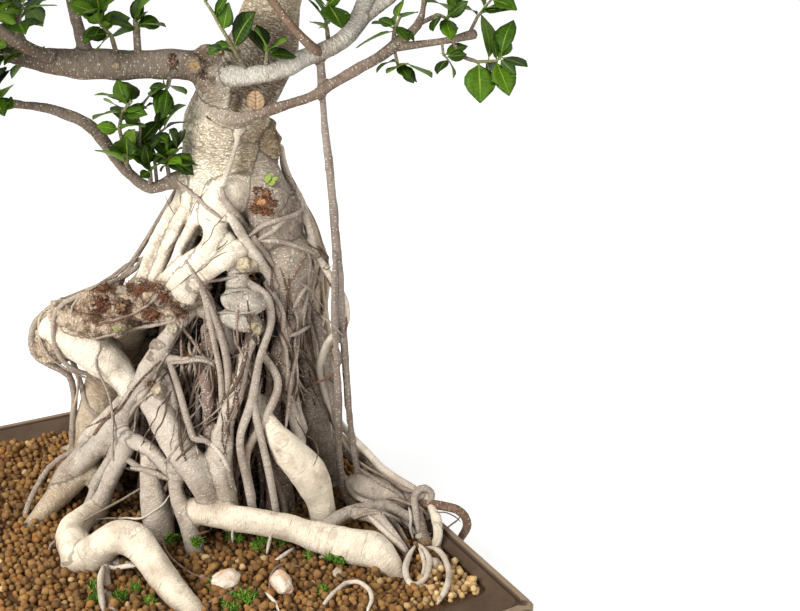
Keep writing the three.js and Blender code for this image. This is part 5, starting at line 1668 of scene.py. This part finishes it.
rootLooks = {
    "grey": (*shade(156, 142, 128), 0.4, 0.2, 0.0),
    "pale": (*shade(208, 196, 178), 0.2, 0.2, 0.0),
    "purple": (*shade(138, 114, 100), 0.2, 0.2, 0.0),
    "brown": (*shade(116, 86, 66), 0.3, 0.3, 0.0),
    "dark": (*shade(98, 78, 63), 0.1, 0.2, 0.0),
    "shade": (*shade(92, 74, 60), 0.3, 0.2, 0.0),
    "back": (*shade(186, 168, 142), 0.3, 0.3, 0.0),
}
# Roots that stand clear of what they cross, in the tree's space
thinRoutes = [
    [(80, 25, 429, 4), (94, 33, 435, 4), (110, 41, 437, 4), (126, 48, 442, 4), (135, 64, 445, 3.5)],
    [(86, 30, 420, 3.5), (106, 37, 421, 3.5), (129, 41, 415, 4), (145, 52, 404, 4), (153, 60, 394, 3.5)],
    [(-4, 2, 300, 3.5), (7, -16, 278, 3.5), (19, -31, 239, 3.5), (23, -36, 230, 3.5), (36, -38, 228, 3),
        (47, -39, 217, 3), (55, -43, 205, 3), (62, -46, 180, 3)],
    [(18, 22, 408, 3.2), (29, 9, 390, 3.2), (37, 3, 372, 3.5), (53, -4, 327, 4), (57, -6, 303, 4.5),
        (58, -14, 268, 4.5)],
    [(31, 14, 387, 3.2), (38, 1, 366, 3.2), (46, -7, 319, 3.2), (50, -11, 294, 3.2), (52, -18, 258, 4)],
    [(-56, -6, 190, 3.5), (-33, -27, 188, 3.5), (-17, -35, 187, 3.5), (0, -34, 180, 3.5)],
]


def groundTree():
    coords, faces = [], []
    for piece in (crownWood, rootWood, nodes["soil"], nodes["pot"]):
        start = len(coords)
        coords += [v.co.copy() for v in piece.data.vertices]
        faces += [tuple(start + k for k in face.vertices) for face in piece.data.polygons]
    return BVHTree.FromPolygons(coords, faces)


carrier = groundTree()
woodFaces = len(crownWood.data.polygons) + len(rootWood.data.polygons)


# What carries a pixel: its ray, where that meets wood, soil or pot, the face it meets and how far away
def under(u, v):
    ray = pixelRay(u, v)
    hit, _, face, distance = carrier.ray_cast(eye, ray)
    return ray, hit, face, distance


def evened(values, times):
    for _ in range(times):
        values[1:-1] = (values[:-2] + 2 * values[1:-1] + values[2:]) / 4
    return values


# A root drawn by pixels lies on what carries it and bridges the gaps between
laying = {
    "step": 3.0,
    "wander": 2.2,
    "wanderScale": 0.09,
    "bridge": 5,
    "dip": 0.01,
    "clear": 0.002,
    "ends": 0.004,
    "rest": 0.55,
    "taper": 0.25,
    "taperShare": 0.2,
    "soilLift": 0.008,
}


def laidPixels(halfWidth, pixels):
    flat = []
    for start, end in zip(pixels, pixels[1:]):
        count = max(1, round(math.dist(start, end) / laying["step"]))
        for k in range(count):
            flat.append([a + (b - a) * k / count for a, b in zip(start, end)])
    flat.append(list(pixels[-1]))
    flat = evened(np.array(flat, float), 3)
    stray = laying["wander"] / (0.5 + halfWidth)
    scale = laying["wanderScale"]
    for i, (u, v) in enumerate(flat.tolist()):
        flat[i, 0] += stray * noise.noise(Vector((u * scale, v * scale, halfWidth * 7)))
        flat[i, 1] += stray * noise.noise(Vector((u * scale, v * scale, halfWidth * 7 + 40)))
    return flat


def laidRoute(halfWidth, pixels):
    rays, depths = [], []
    for u, v in laidPixels(halfWidth, pixels):
        ray, hit, face, distance = under(u, v)
        rays.append(ray)
        lift = laying["soilLift"] if hit and face >= woodFaces else 0
        depths.append(distance - lift if hit else np.nan)
    depths = np.array(depths, float)
    known = ~np.isnan(depths)
    if not known.any():
        return None
    order = np.arange(len(depths))
    depths = np.interp(order, order[known], depths[known])
    reach = laying["bridge"]
    near = np.array([depths[max(0, i - reach):i + reach + 1].min() for i in order])
    near = evened(np.minimum(near + laying["dip"], depths), 4)
    near = np.minimum(near, depths + laying["clear"])
    near[0] = depths[0] + laying["ends"]
    near[-1] = depths[-1] + laying["ends"]
    share = np.minimum(order, order[::-1]) / max(3, laying["taperShare"] * len(near))
    taper = laying["taper"] + (1 - laying["taper"]) * np.clip(share, 0, 1) ** 0.6
    radii = halfWidth * millimetre * taper
    line = [[*(eye + ray * (depth - r * laying["rest"])), r] for ray, depth, r in zip(rays, near, radii)]
    return np.array(line)


# Fine roots web the front of the mass: where they start and how they run, by pixels
web = {
    "count": 72,
    "left": (184, 314),
    "top": (262, 400),
    "bottom": ((236, 256), (466, 408)),
    "length": (60, 170),
    "stride": 8,
    "middle": 236,
    "fan": 260,
    "lean": 0.09,
    "turn": 0.17,
    "thick": (0.5, 1.9),
    "kinds": ("grey", "purple", "shade", "grey", "shade", "dark"),
}


def webRoute(rng):
    u, v = rng.uniform(*web["left"]), rng.uniform(*web["top"])
    heading = rng.gauss((u - web["middle"]) / web["fan"], web["lean"])
    pixels = [(u, v)]
    for _ in range(int(rng.uniform(*web["length"]) / web["stride"])):
        heading += rng.gauss(0, web["turn"])
        u += web["stride"] * math.sin(heading)
        v += web["stride"] * math.cos(heading)
        if v > np.interp(u, *web["bottom"]) or under(u, v)[1] is None:
            break
        pixels.append((u, v))
    return pixels


# Hanging roots stand round the heart of the root mass, painted near black as shade, and splay into the soil
curtain = {
    "count": 120,
    "hairs": 150,
    "thick": (1.0, 4.6),
    "hairThick": (0.35, 0.7),
    "top": (290, 400),
    "bottom": 103,
    "turn": 0.55,
    "sway": (0.02, 0.12),
    "step": 12,
    "tucked": 14,
    "kinds": ("shade", "purple", "grey", "shade", "brown", "purple", "grey"),
    "hairKinds": ("dark", "shade", "brown"),
}


def coreAt(height):
    rows = np.array(backRoots[0])[::-1]
    return [float(np.interp(height, rows[:, 2], rows[:, k])) for k in (0, 1, 3)]


def hangingRoute(rng, thick, stray, splay):
    angle = rng.uniform(0, wholeTurn)
    turn = rng.uniform(-curtain["turn"], curtain["turn"])
    top = rng.uniform(*curtain["top"])
    bottom = curtain["bottom"]
    phase, sway = rng.uniform(0, 6.28), rng.uniform(*curtain["sway"])
    steps = max(6, int((top - bottom) / curtain["step"]))
    route = []
    for k in range(steps + 1):
        share = k / steps
        height = top + (bottom - top) * share
        across, away, reach = coreAt(height)
        out = reach + thick * 0.4 + stray * math.sin(math.pi * min(1, share * 1.3)) + splay * share**3
        out -= curtain["tucked"] * max(0, 1 - share * 6)
        theta = angle + turn * share + sway * math.sin(phase + share * 9)
        radius = thick * (0.75 + 0.25 * math.sin(phase * 3 + share * 11))
        route.append((across + out * math.cos(theta), away + out * math.sin(theta), height, radius))
    return route


# Clinging roots run down the outside of the mass, where the photograph doesn't look
cling = {
    "count": 74,
    "axis": (60, 84),
    "angles": (-0.3, 3.45),
    "turn": 0.6,
    "sway": (0.02, 0.1),
    "thick": (1.2, 5.0),
    "top": (330, 520),
    "reach": 0.32,
    "missed": 0.03,
    "bridge": 2,
    "clear": 0.02,
    "low": 0.126,
    "splay": 0.006,
    "step": 8,
    "kinds": ("back", "grey", "back", "pale", "purple", "grey", "brown"),
}


def clingLine(rng):
    angle, turn = rng.uniform(*cling["angles"]), rng.uniform(-cling["turn"], cling["turn"])
    top, bottom = rng.uniform(*cling["top"]), curtain["bottom"]
    low, high = cling["thick"]
    thick = (low + (high - low) * rng.random() ** 1.7) * millimetre
    phase, sway = rng.uniform(0, 6.28), rng.uniform(*cling["sway"])
    steps = int((top - bottom) / cling["step"])
    middles, ways, outs = [], [], []
    for k in range(steps + 1):
        share = k / steps
        theta = angle + turn * share + sway * math.sin(phase + share * 8)
        middles.append(turned((*cling["axis"], top + (bottom - top) * share)))
        ways.append(turned((math.cos(theta), math.sin(theta), 0)).normalized())
        far = middles[-1] + ways[-1] * cling["reach"]
        distance = carrier.ray_cast(far, -ways[-1], cling["reach"])[3]
        out = cling["reach"] - distance if distance else cling["missed"]
        if middles[-1].z < cling["low"]:
            out = min(out, outs[-1] + cling["splay"])
        outs.append(out)
    outs = np.array(outs)
    reach = cling["bridge"]
    wide = evened(np.array([outs[max(0, i - reach):i + reach + 1].max() for i in range(len(outs))]), 5)
    wide = evened(np.minimum(wide, outs + cling["clear"]), 3)
    wide[0] -= 2 * thick
    share = np.minimum(1, 0.4 + np.arange(len(wide)) / 6)
    rows = zip(middles, ways, wide, thick * share)
    return np.array([[*(middle + way * (out + thick * 0.3)), radius] for middle, way, out, radius in rows])


def layRoots():
    tubes = newTubes()
    for kind, roots in surfaceRoots.items():
        for halfWidth, pixels in roots:
            line = laidRoute(halfWidth, pixels)
            if line is not None:
                addTube(tubes, line, 7, rootLooks[kind], 0.08)
    rng = random.Random(31)
    low, high = web["thick"]
    for _ in range(web["count"]):
        line = laidRoute(low + (high - low) * rng.random() ** 1.8, webRoute(rng))
        if line is not None:
            addTube(tubes, line, 6, rootLooks[rng.choice(web["kinds"])], 0.06)
    for route in thinRoutes:
        addTube(tubes, smoothRoute(route, 0.005), 8, rootLooks["grey"], 0.06)
    return tubes


def hangRoots(rng):
    tubes = newTubes()
    low, high = curtain["thick"]
    for _ in range(curtain["count"]):
        thick = low + (high - low) * rng.random() ** 1.6
        route = hangingRoute(rng, thick, rng.uniform(0, 14), rng.uniform(0, 26))
        addTube(tubes, smoothRoute(route, 0.009), 6, rootLooks[rng.choice(curtain["kinds"])], 0.08)
    for _ in range(curtain["hairs"]):
        thick = rng.uniform(*curtain["hairThick"])
        route = hangingRoute(rng, thick, rng.uniform(4, 34), rng.uniform(0, 30))
        addTube(tubes, smoothRoute(route, 0.011), 3, rootLooks[rng.choice(curtain["hairKinds"])], 0.0)
    return tubes


def clingRoots(rng):
    tubes = newTubes()
    for _ in range(cling["count"]):
        addTube(tubes, clingLine(rng), 8, rootLooks[rng.choice(cling["kinds"])], 0.08)
    return tubes


finishPiece(tubePiece("surfaceRoots", layRoots(), woodTree), "bark", bark)
rootDraws = random.Random(8)
finishPiece(tubePiece("hangingRoots", hangRoots(rootDraws), woodTree), "bark", bark)
finishPiece(tubePiece("clingingRoots", clingRoots(rootDraws), woodTree), "bark", bark)
finishPiece(tubePiece("woodThin", thinWood, woodTree), "bark", bark, "wood")
print("thin roots laid")

# Knots, cut stubs and burls: (pixel, radius, rim colour, heart colour, dent, how far it stands out)
rust, umber, greyWood = (104, 62, 40), (96, 72, 54), (140, 122, 102)
knots = [
    ((172, 62), 7.5, umber, rust, 0.55, 0.7),
    ((195, 65), 8.0, greyWood, (186, 152, 104), 0.15, 1.2),
    ((217, 52), 7.5, greyWood, (206, 176, 122), 0.4, 0.8),
    ((205, 76), 5.0, umber, (84, 66, 52), 0.3, 0.7),
    ((203, 88), 5.5, (126, 110, 94), (104, 88, 72), 0.3, 0.6),
    ((212, 80), 4.5, (128, 112, 96), (108, 92, 76), 0.3, 0.7),
    ((226, 66), 5.0, (126, 110, 94), (96, 80, 66), 0.4, 0.6),
    ((208, 64), 4.5, (120, 104, 88), (92, 76, 62), 0.4, 0.7),
    ((198, 98), 4.0, (132, 116, 98), (110, 94, 78), 0.2, 0.5),
    ((116, 66), 5.5, greyWood, (186, 162, 134), 0.0, 0.6),
    # Painted shade: the near-black hearts of the next five knots darken the hollow between the branches
    ((223, 92), 4.2, umber, (40, 28, 22), 0.8, 0.35),
    ((231, 92), 4.0, umber, (46, 32, 24), 0.8, 0.35),
    ((212, 92), 2.4, umber, (46, 32, 24), 0.7, 0.35),
    ((209, 117), 3.4, umber, (52, 36, 26), 0.6, 0.4),
    ((227, 117), 2.4, umber, (52, 36, 26), 0.6, 0.4),
    ((259, 190), 5.5, rust, (84, 44, 30), 0.3, 0.7),
    ((267, 194), 6.0, rust, (190, 120, 74), 0.3, 0.9),
    ((262, 202), 6.5, (170, 112, 72), (222, 172, 120), 0.1, 1.0),
    ((257, 210), 5.5, rust, (176, 118, 76), 0.2, 0.8),
    ((267, 212), 6.5, rust, (180, 112, 68), 0.25, 0.8),
    ((272, 203), 5.0, umber, (150, 92, 60), 0.2, 0.8),
    ((158.5, 390), 6.8, (168, 148, 122), (224, 210, 180), 0.15, 1.0),
    ((244, 263), 8.0, (188, 170, 138), (214, 200, 168), 0.1, 0.7),
    ((253, 264), 7.0, (182, 164, 132), (210, 196, 164), 0.1, 0.6),
    ((237, 334), 8.5, (186, 172, 142), (214, 200, 158), 0.1, 0.6),
    ((256, 330), 7.5, (186, 172, 140), (212, 198, 162), 0.1, 0.6),
    ((252, 325), 6.5, (166, 150, 122), (206, 188, 148), 0.1, 0.6),
    ((104, 289), 8.0, rust, (138, 88, 56), 0.3, 0.9),
    ((102, 304), 9.0, rust, (120, 72, 44), 0.3, 0.9),
    ((121, 291), 7.0, (176, 160, 140), (212, 200, 180), 0.2, 1.0),
    ((121, 306), 10.0, umber, (176, 142, 96), 0.2, 1.0),
    ((142, 291), 9.0, rust, (128, 78, 48), 0.3, 0.9),
    ((165, 298), 8.5, rust, (120, 74, 48), 0.3, 0.8),
    ((152, 312), 8.5, rust, (140, 92, 60), 0.3, 0.9),
    ((183, 304), 5.0, greyWood, (214, 204, 186), 0.1, 0.9),
    ((152, 331), 9.5, umber, (206, 196, 180), 0.35, 1.0),
    ((173, 329), 7.0, (168, 154, 130), (208, 196, 166), 0.1, 1.0),
    ((99, 321), 8.0, umber, (128, 98, 70), 0.3, 0.8),
    ((136, 321), 6.0, umber, (90, 66, 50), 0.3, 0.8),
    ((118, 328), 7.0, greyWood, (168, 178, 104), 0.1, 0.6),
    ((128, 327), 6.0, greyWood, (178, 190, 110), 0.1, 0.6),
    ((158, 345), 8.0, (158, 144, 128), (172, 158, 142), 0.2, 0.5),
    ((152, 357), 6.5, (158, 144, 128), (170, 156, 140), 0.2, 0.5),
]
knotForm = {
    "sink": 0.3,
    "wide": (0.85, 1.25),
    "tall": (0.75, 1.1),
    "dentWithin": 0.55,
    "heart": 0.66,
    "heartEdge": 0.16,
    "fleck": 0.08,
    "crease": 0.35,
}


# How far a knot's surface stands out, more broken up where it is rusty
def knotSwell(p, shift, rim):
    swell = 1 + 0.3 * noise.noise(p * 1.7 + shift) + 0.16 * noise.noise(p * 4 + shift)
    swell += 0.08 * noise.noise(p * 9 + shift)
    if rim in (rust, umber):
        swell += 0.5 * abs(noise.noise(p * 3.2 + shift)) + 0.34 * noise.cell(p * 3.4 + shift) - 0.3
    return swell


def knotTint(p, shift, flat, colours):
    share = max(0, min(1, (knotForm["heart"] - flat) / knotForm["heartEdge"])) if p.z > 0 else 0
    share *= 0.75 + 0.25 * noise.noise(p * 7 + shift)
    patch = 0.8 + 0.35 * noise.noise(p * 4 + shift)
    return [(a + (b - a) * share) * patch for a, b in zip(*colours)]


def growKnots():
    form, faces = formOf(bpy.ops.mesh.primitive_ico_sphere_add, subdivisions=4, radius=1)
    rng = random.Random(14)
    coords, quads, tints = [], [], []
    for i, (pixel, size, rim, heart, dent, stand) in enumerate(knots):
        ray, hit, _, _ = under(*pixel)
        facing = (carrier.find_nearest(hit)[1] - ray).normalized()
        turn = facing.to_track_quat("Z", "Y").to_matrix()
        shift = Vector((i * 3.1, i * 1.7, 0))
        colours = shade(*rim), shade(*heart)
        wide, tall = rng.uniform(*knotForm["wide"]), rng.uniform(*knotForm["tall"])
        hit = hit - facing * size * millimetre * knotForm["sink"]
        start = len(coords)
        for x, y, z in form:
            p = Vector((x, y, z))
            swell = knotSwell(p, shift, rim)
            flat = math.hypot(x, y)
            lowered = dent * max(0, 1 - flat / knotForm["dentWithin"]) if z > 0 else 0
            place = Vector((x * swell * wide, y * swell * tall, z * swell * stand - lowered))
            coords.append(hit + turn @ (place * size * millimetre))
            tints.append(knotTint(p, shift, flat, colours))
        quads += [tuple(start + k for k in face) for face in faces]
    piece = meshPiece("barkKnots", coords, quads)
    fleck, crease = (np.full(len(coords), knotForm[name]) for name in ("fleck", "crease"))
    recordBark(piece, np.array(coords), tints, fleck, crease)
    smoothPiece(piece)
    finishPiece(piece, "bark", bark)


growKnots()

# Tufts of fine strands on the wood or the soil: places are (u, v, reach) in pixels
tufts = {
    "rustFibres": {
        "places": [
            (143, 284, 9), (104, 284, 9), (101, 298, 9), (165, 296, 9), (150, 310, 8), (176, 306, 8),
            (126, 312, 6), (253, 277, 8), (262, 200, 7), (268, 212, 7), (258, 207, 6), (190, 355, 5),
            (152, 384, 5), (110, 292, 7), (133, 290, 7), (158, 288, 7), (95, 310, 8), (182, 314, 6),
        ],
        "slot": "bark", "seed": 10,
        "strands": 60, "length": (4, 13), "thick": 0.32, "spread": 0.9, "lift": 0,
        "colours": [(112, 74, 50), (138, 96, 66), (88, 60, 44), (158, 118, 86)],
    },
    "mossTufts": {
        "places": [
            (231, 538, 6), (238, 542, 5), (264, 543, 7), (258, 549, 5), (282, 544, 5), (330, 559, 5),
            (340, 562, 5), (322, 594, 4), (239, 597, 9), (228, 603, 8), (250, 600, 8), (215, 588, 5),
            (121, 599, 6), (98, 590, 9), (96, 604, 8), (136, 592, 4), (172, 541, 5), (196, 544, 4),
            (150, 604, 4), (232, 608, 8), (311, 558, 4),
        ],
        "slot": "leaf", "seed": 9,
        "strands": 150, "length": (2.5, 6), "thick": 0.95, "spread": 1.8, "lift": 4,
        "colours": [(74, 120, 34), (96, 142, 40), (58, 98, 30), (130, 160, 56)],
    },
}


def scattered(rng, spread):
    return Vector([rng.gauss(0, spread) for _ in range(3)])


def growTufts(name, tuft):
    rng = random.Random(tuft["seed"])
    tubes = newTubes()
    for u, v, size in tuft["places"]:
        for _ in range(tuft["strands"]):
            angle, out = rng.uniform(0, 6.28), size * math.sqrt(rng.random())
            hit = under(u + out * math.cos(angle), v + out * math.sin(angle) * 0.7)[1]
            if hit is None:
                continue
            normal = carrier.find_nearest(hit)[1]
            hit.z += tuft["lift"] * millimetre * rng.random()
            grow = (normal + scattered(rng, tuft["spread"]) * 0.6 + Vector((0, 0, 0.3))).normalized()
            bend = scattered(rng, 0.4)
            length = rng.uniform(*tuft["length"]) * millimetre
            colour = shade(*rng.choice(tuft["colours"]))
            line = []
            for share in (0, 0.5, 1):
                point = hit + grow * length * share + bend * length * share * share
                line.append([*point, tuft["thick"] * millimetre * (1 - 0.7 * share)])
            addStrand(tubes, np.array(line), [*colour, 0.0, 0.0, 0.0])
    finishPiece(tubePiece(name, tubes), tuft["slot"], bark)


# A strand is a thin tube whose rings all face the same way
def addStrand(tubes, line, look):
    start, sides = tubes["count"], 3
    along = line[-1, :3] - line[0, :3]
    side = np.cross(along, (0.3, 0.7, 0.65))
    side /= np.linalg.norm(side)
    other = np.cross(along, side)
    other /= np.linalg.norm(other)
    angles = 2 * np.pi * np.arange(sides) / sides
    for row in line:
        ring = row[:3] + (np.outer(np.cos(angles), side) + np.outer(np.sin(angles), other)) * row[3]
        tubes["coords"].append(ring)
        tubes["grain"].append(ring)
        tubes["looks"].append(look)
    addSides(tubes, start, len(line), sides)


for name, tuft in tufts.items():
    growTufts(name, tuft)
print("knots and tufts grown")

# Loose leaves and the sprout, by pixels: (base, tip, width, age)
looseLeaves = [
    ((266, 184), (271, 172), 7, 3.8),
    ((268, 183), (279, 177), 6, 3.9),
    ((267, 184), (276, 182), 7, 3.9),
    ((250, 229), (238, 214), 10, 2.4),
    ((95, 604), (100, 590), 16, 1.4),
]
looseLift = {"base": 0.001, "tip": 0.006}


def layLooseLeaves():
    rng = random.Random(21)
    leaves = newLeaves()
    for base, tip, width, age in looseLeaves:
        ray, hit, _, distance = under(*base)
        normal = carrier.find_nearest(hit)[1]
        start = hit - ray * looseLift["base"]
        end = eye + pixelRay(*tip) * (distance - looseLift["tip"])
        addLeaf(leaves, start, end, width, (normal - ray).normalized(), rng, age)
    finishPiece(leavesPiece("looseLeaves", leaves), "leaf", leafFinish)


layLooseLeaves()


# A pale stone, finer than the solid and in its place
def roughStone(node, name, seed):
    low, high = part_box(node)
    form, faces = formOf(bpy.ops.mesh.primitive_ico_sphere_add, subdivisions=5, radius=1)
    for i, c in enumerate(form):
        p = Vector(c)
        swell = 1 + 0.2 * noise.noise(p * 1.5 + Vector((seed, 0, 0))) + 0.06 * noise.noise(p * 5)
        swell += 0.03 * noise.noise(p * 14)
        form[i] = c * swell
    half = np.array((high - low) / 2)
    piece = meshPiece(name, form * half * 0.98 + np.array((low + high) / 2), faces)
    smoothPiece(piece)
    finishPiece(piece, "pale_stone", paleStone, node)


roughStone("pale_stone_1", "paleStoneLeft", 4)
roughStone("pale_stone_2", "paleStoneRight", 9)

# A grey stone held by the roots at the corner of the soil, and small ones near it: (pixel, (width, height))
heldStones = [((434, 570), (9, 11)), ((419, 537), (4, 3)), ((338, 574), (6, 5)), ((323, 558), (5, 4))]


def layHeldStones():
    form, faces = formOf(bpy.ops.mesh.primitive_ico_sphere_add, subdivisions=4, radius=1)
    coords, quads = [], []
    for i, (pixel, (wide, tall)) in enumerate(heldStones):
        hit = under(*pixel)[1]
        shift = Vector((i * 5.3, 2.0, 0))
        start = len(coords)
        for x, y, z in form:
            p = Vector((x, y, z))
            swell = 1 + 0.2 * noise.noise(p * 1.6 + shift) + 0.05 * noise.noise(p * 6 + shift)
            size = Vector((x * wide, y * wide, z * tall)) * swell * millimetre
            coords.append(hit + size + Vector((0, 0, 0.25 * tall * millimetre)))
        quads += [tuple(start + k for k in face) for face in faces]
    piece = meshPiece("heldStones", coords, quads)
    smoothPiece(piece)
    finishPiece(piece, "pale_stone", greyStone)


layHeldStones()

# The dry leaf is an oval sheet that curls and leans, with a crease along its middle
dryLeafForm = {
    "centre": (95, 24.6, 568),
    "half": (8.8, 9.6),
    "grid": (16, 18),
    "narrower": 0.14,
    "curl": 1.4,
    "crease": 0.7,
    "creaseWidth": 0.09,
    "lean": 0.12,
    "thick": 0.0007,
}


def dryLeaf():
    columns, rows = dryLeafForm["grid"]
    add = bpy.ops.mesh.primitive_grid_add
    form, faces = formOf(add, x_subdivisions=columns, y_subdivisions=rows, size=2)
    wide, tall = dryLeafForm["half"]
    across, away, height = dryLeafForm["centre"]
    coords = []
    for x, y, _ in form:
        roundX = x * math.sqrt(1 - y * y / 2)
        roundY = y * math.sqrt(1 - x * x / 2)
        curl = dryLeafForm["curl"] * (roundX**2 + roundY**2)
        crease = dryLeafForm["crease"] * math.exp(-((roundX / dryLeafForm["creaseWidth"]) ** 2))
        lift = roundY * tall
        side = across + roundX * wide * (1 - dryLeafForm["narrower"] * roundY)
        coords.append(turned((side, away - curl + crease + lift * dryLeafForm["lean"], height + lift)))
    piece = meshPiece("dryLeaf", coords, faces)
    record(piece, "leafAt", form)
    modify(piece, "SOLIDIFY", thickness=dryLeafForm["thick"], offset=0)
    modify(piece, "SUBSURF", levels=1, render_levels=1)
    smoothPiece(piece)
    finishPiece(piece, "dry_leaf", dryFinish, "dry_leaf")


dryLeaf()
print("stones and dry leaf set")
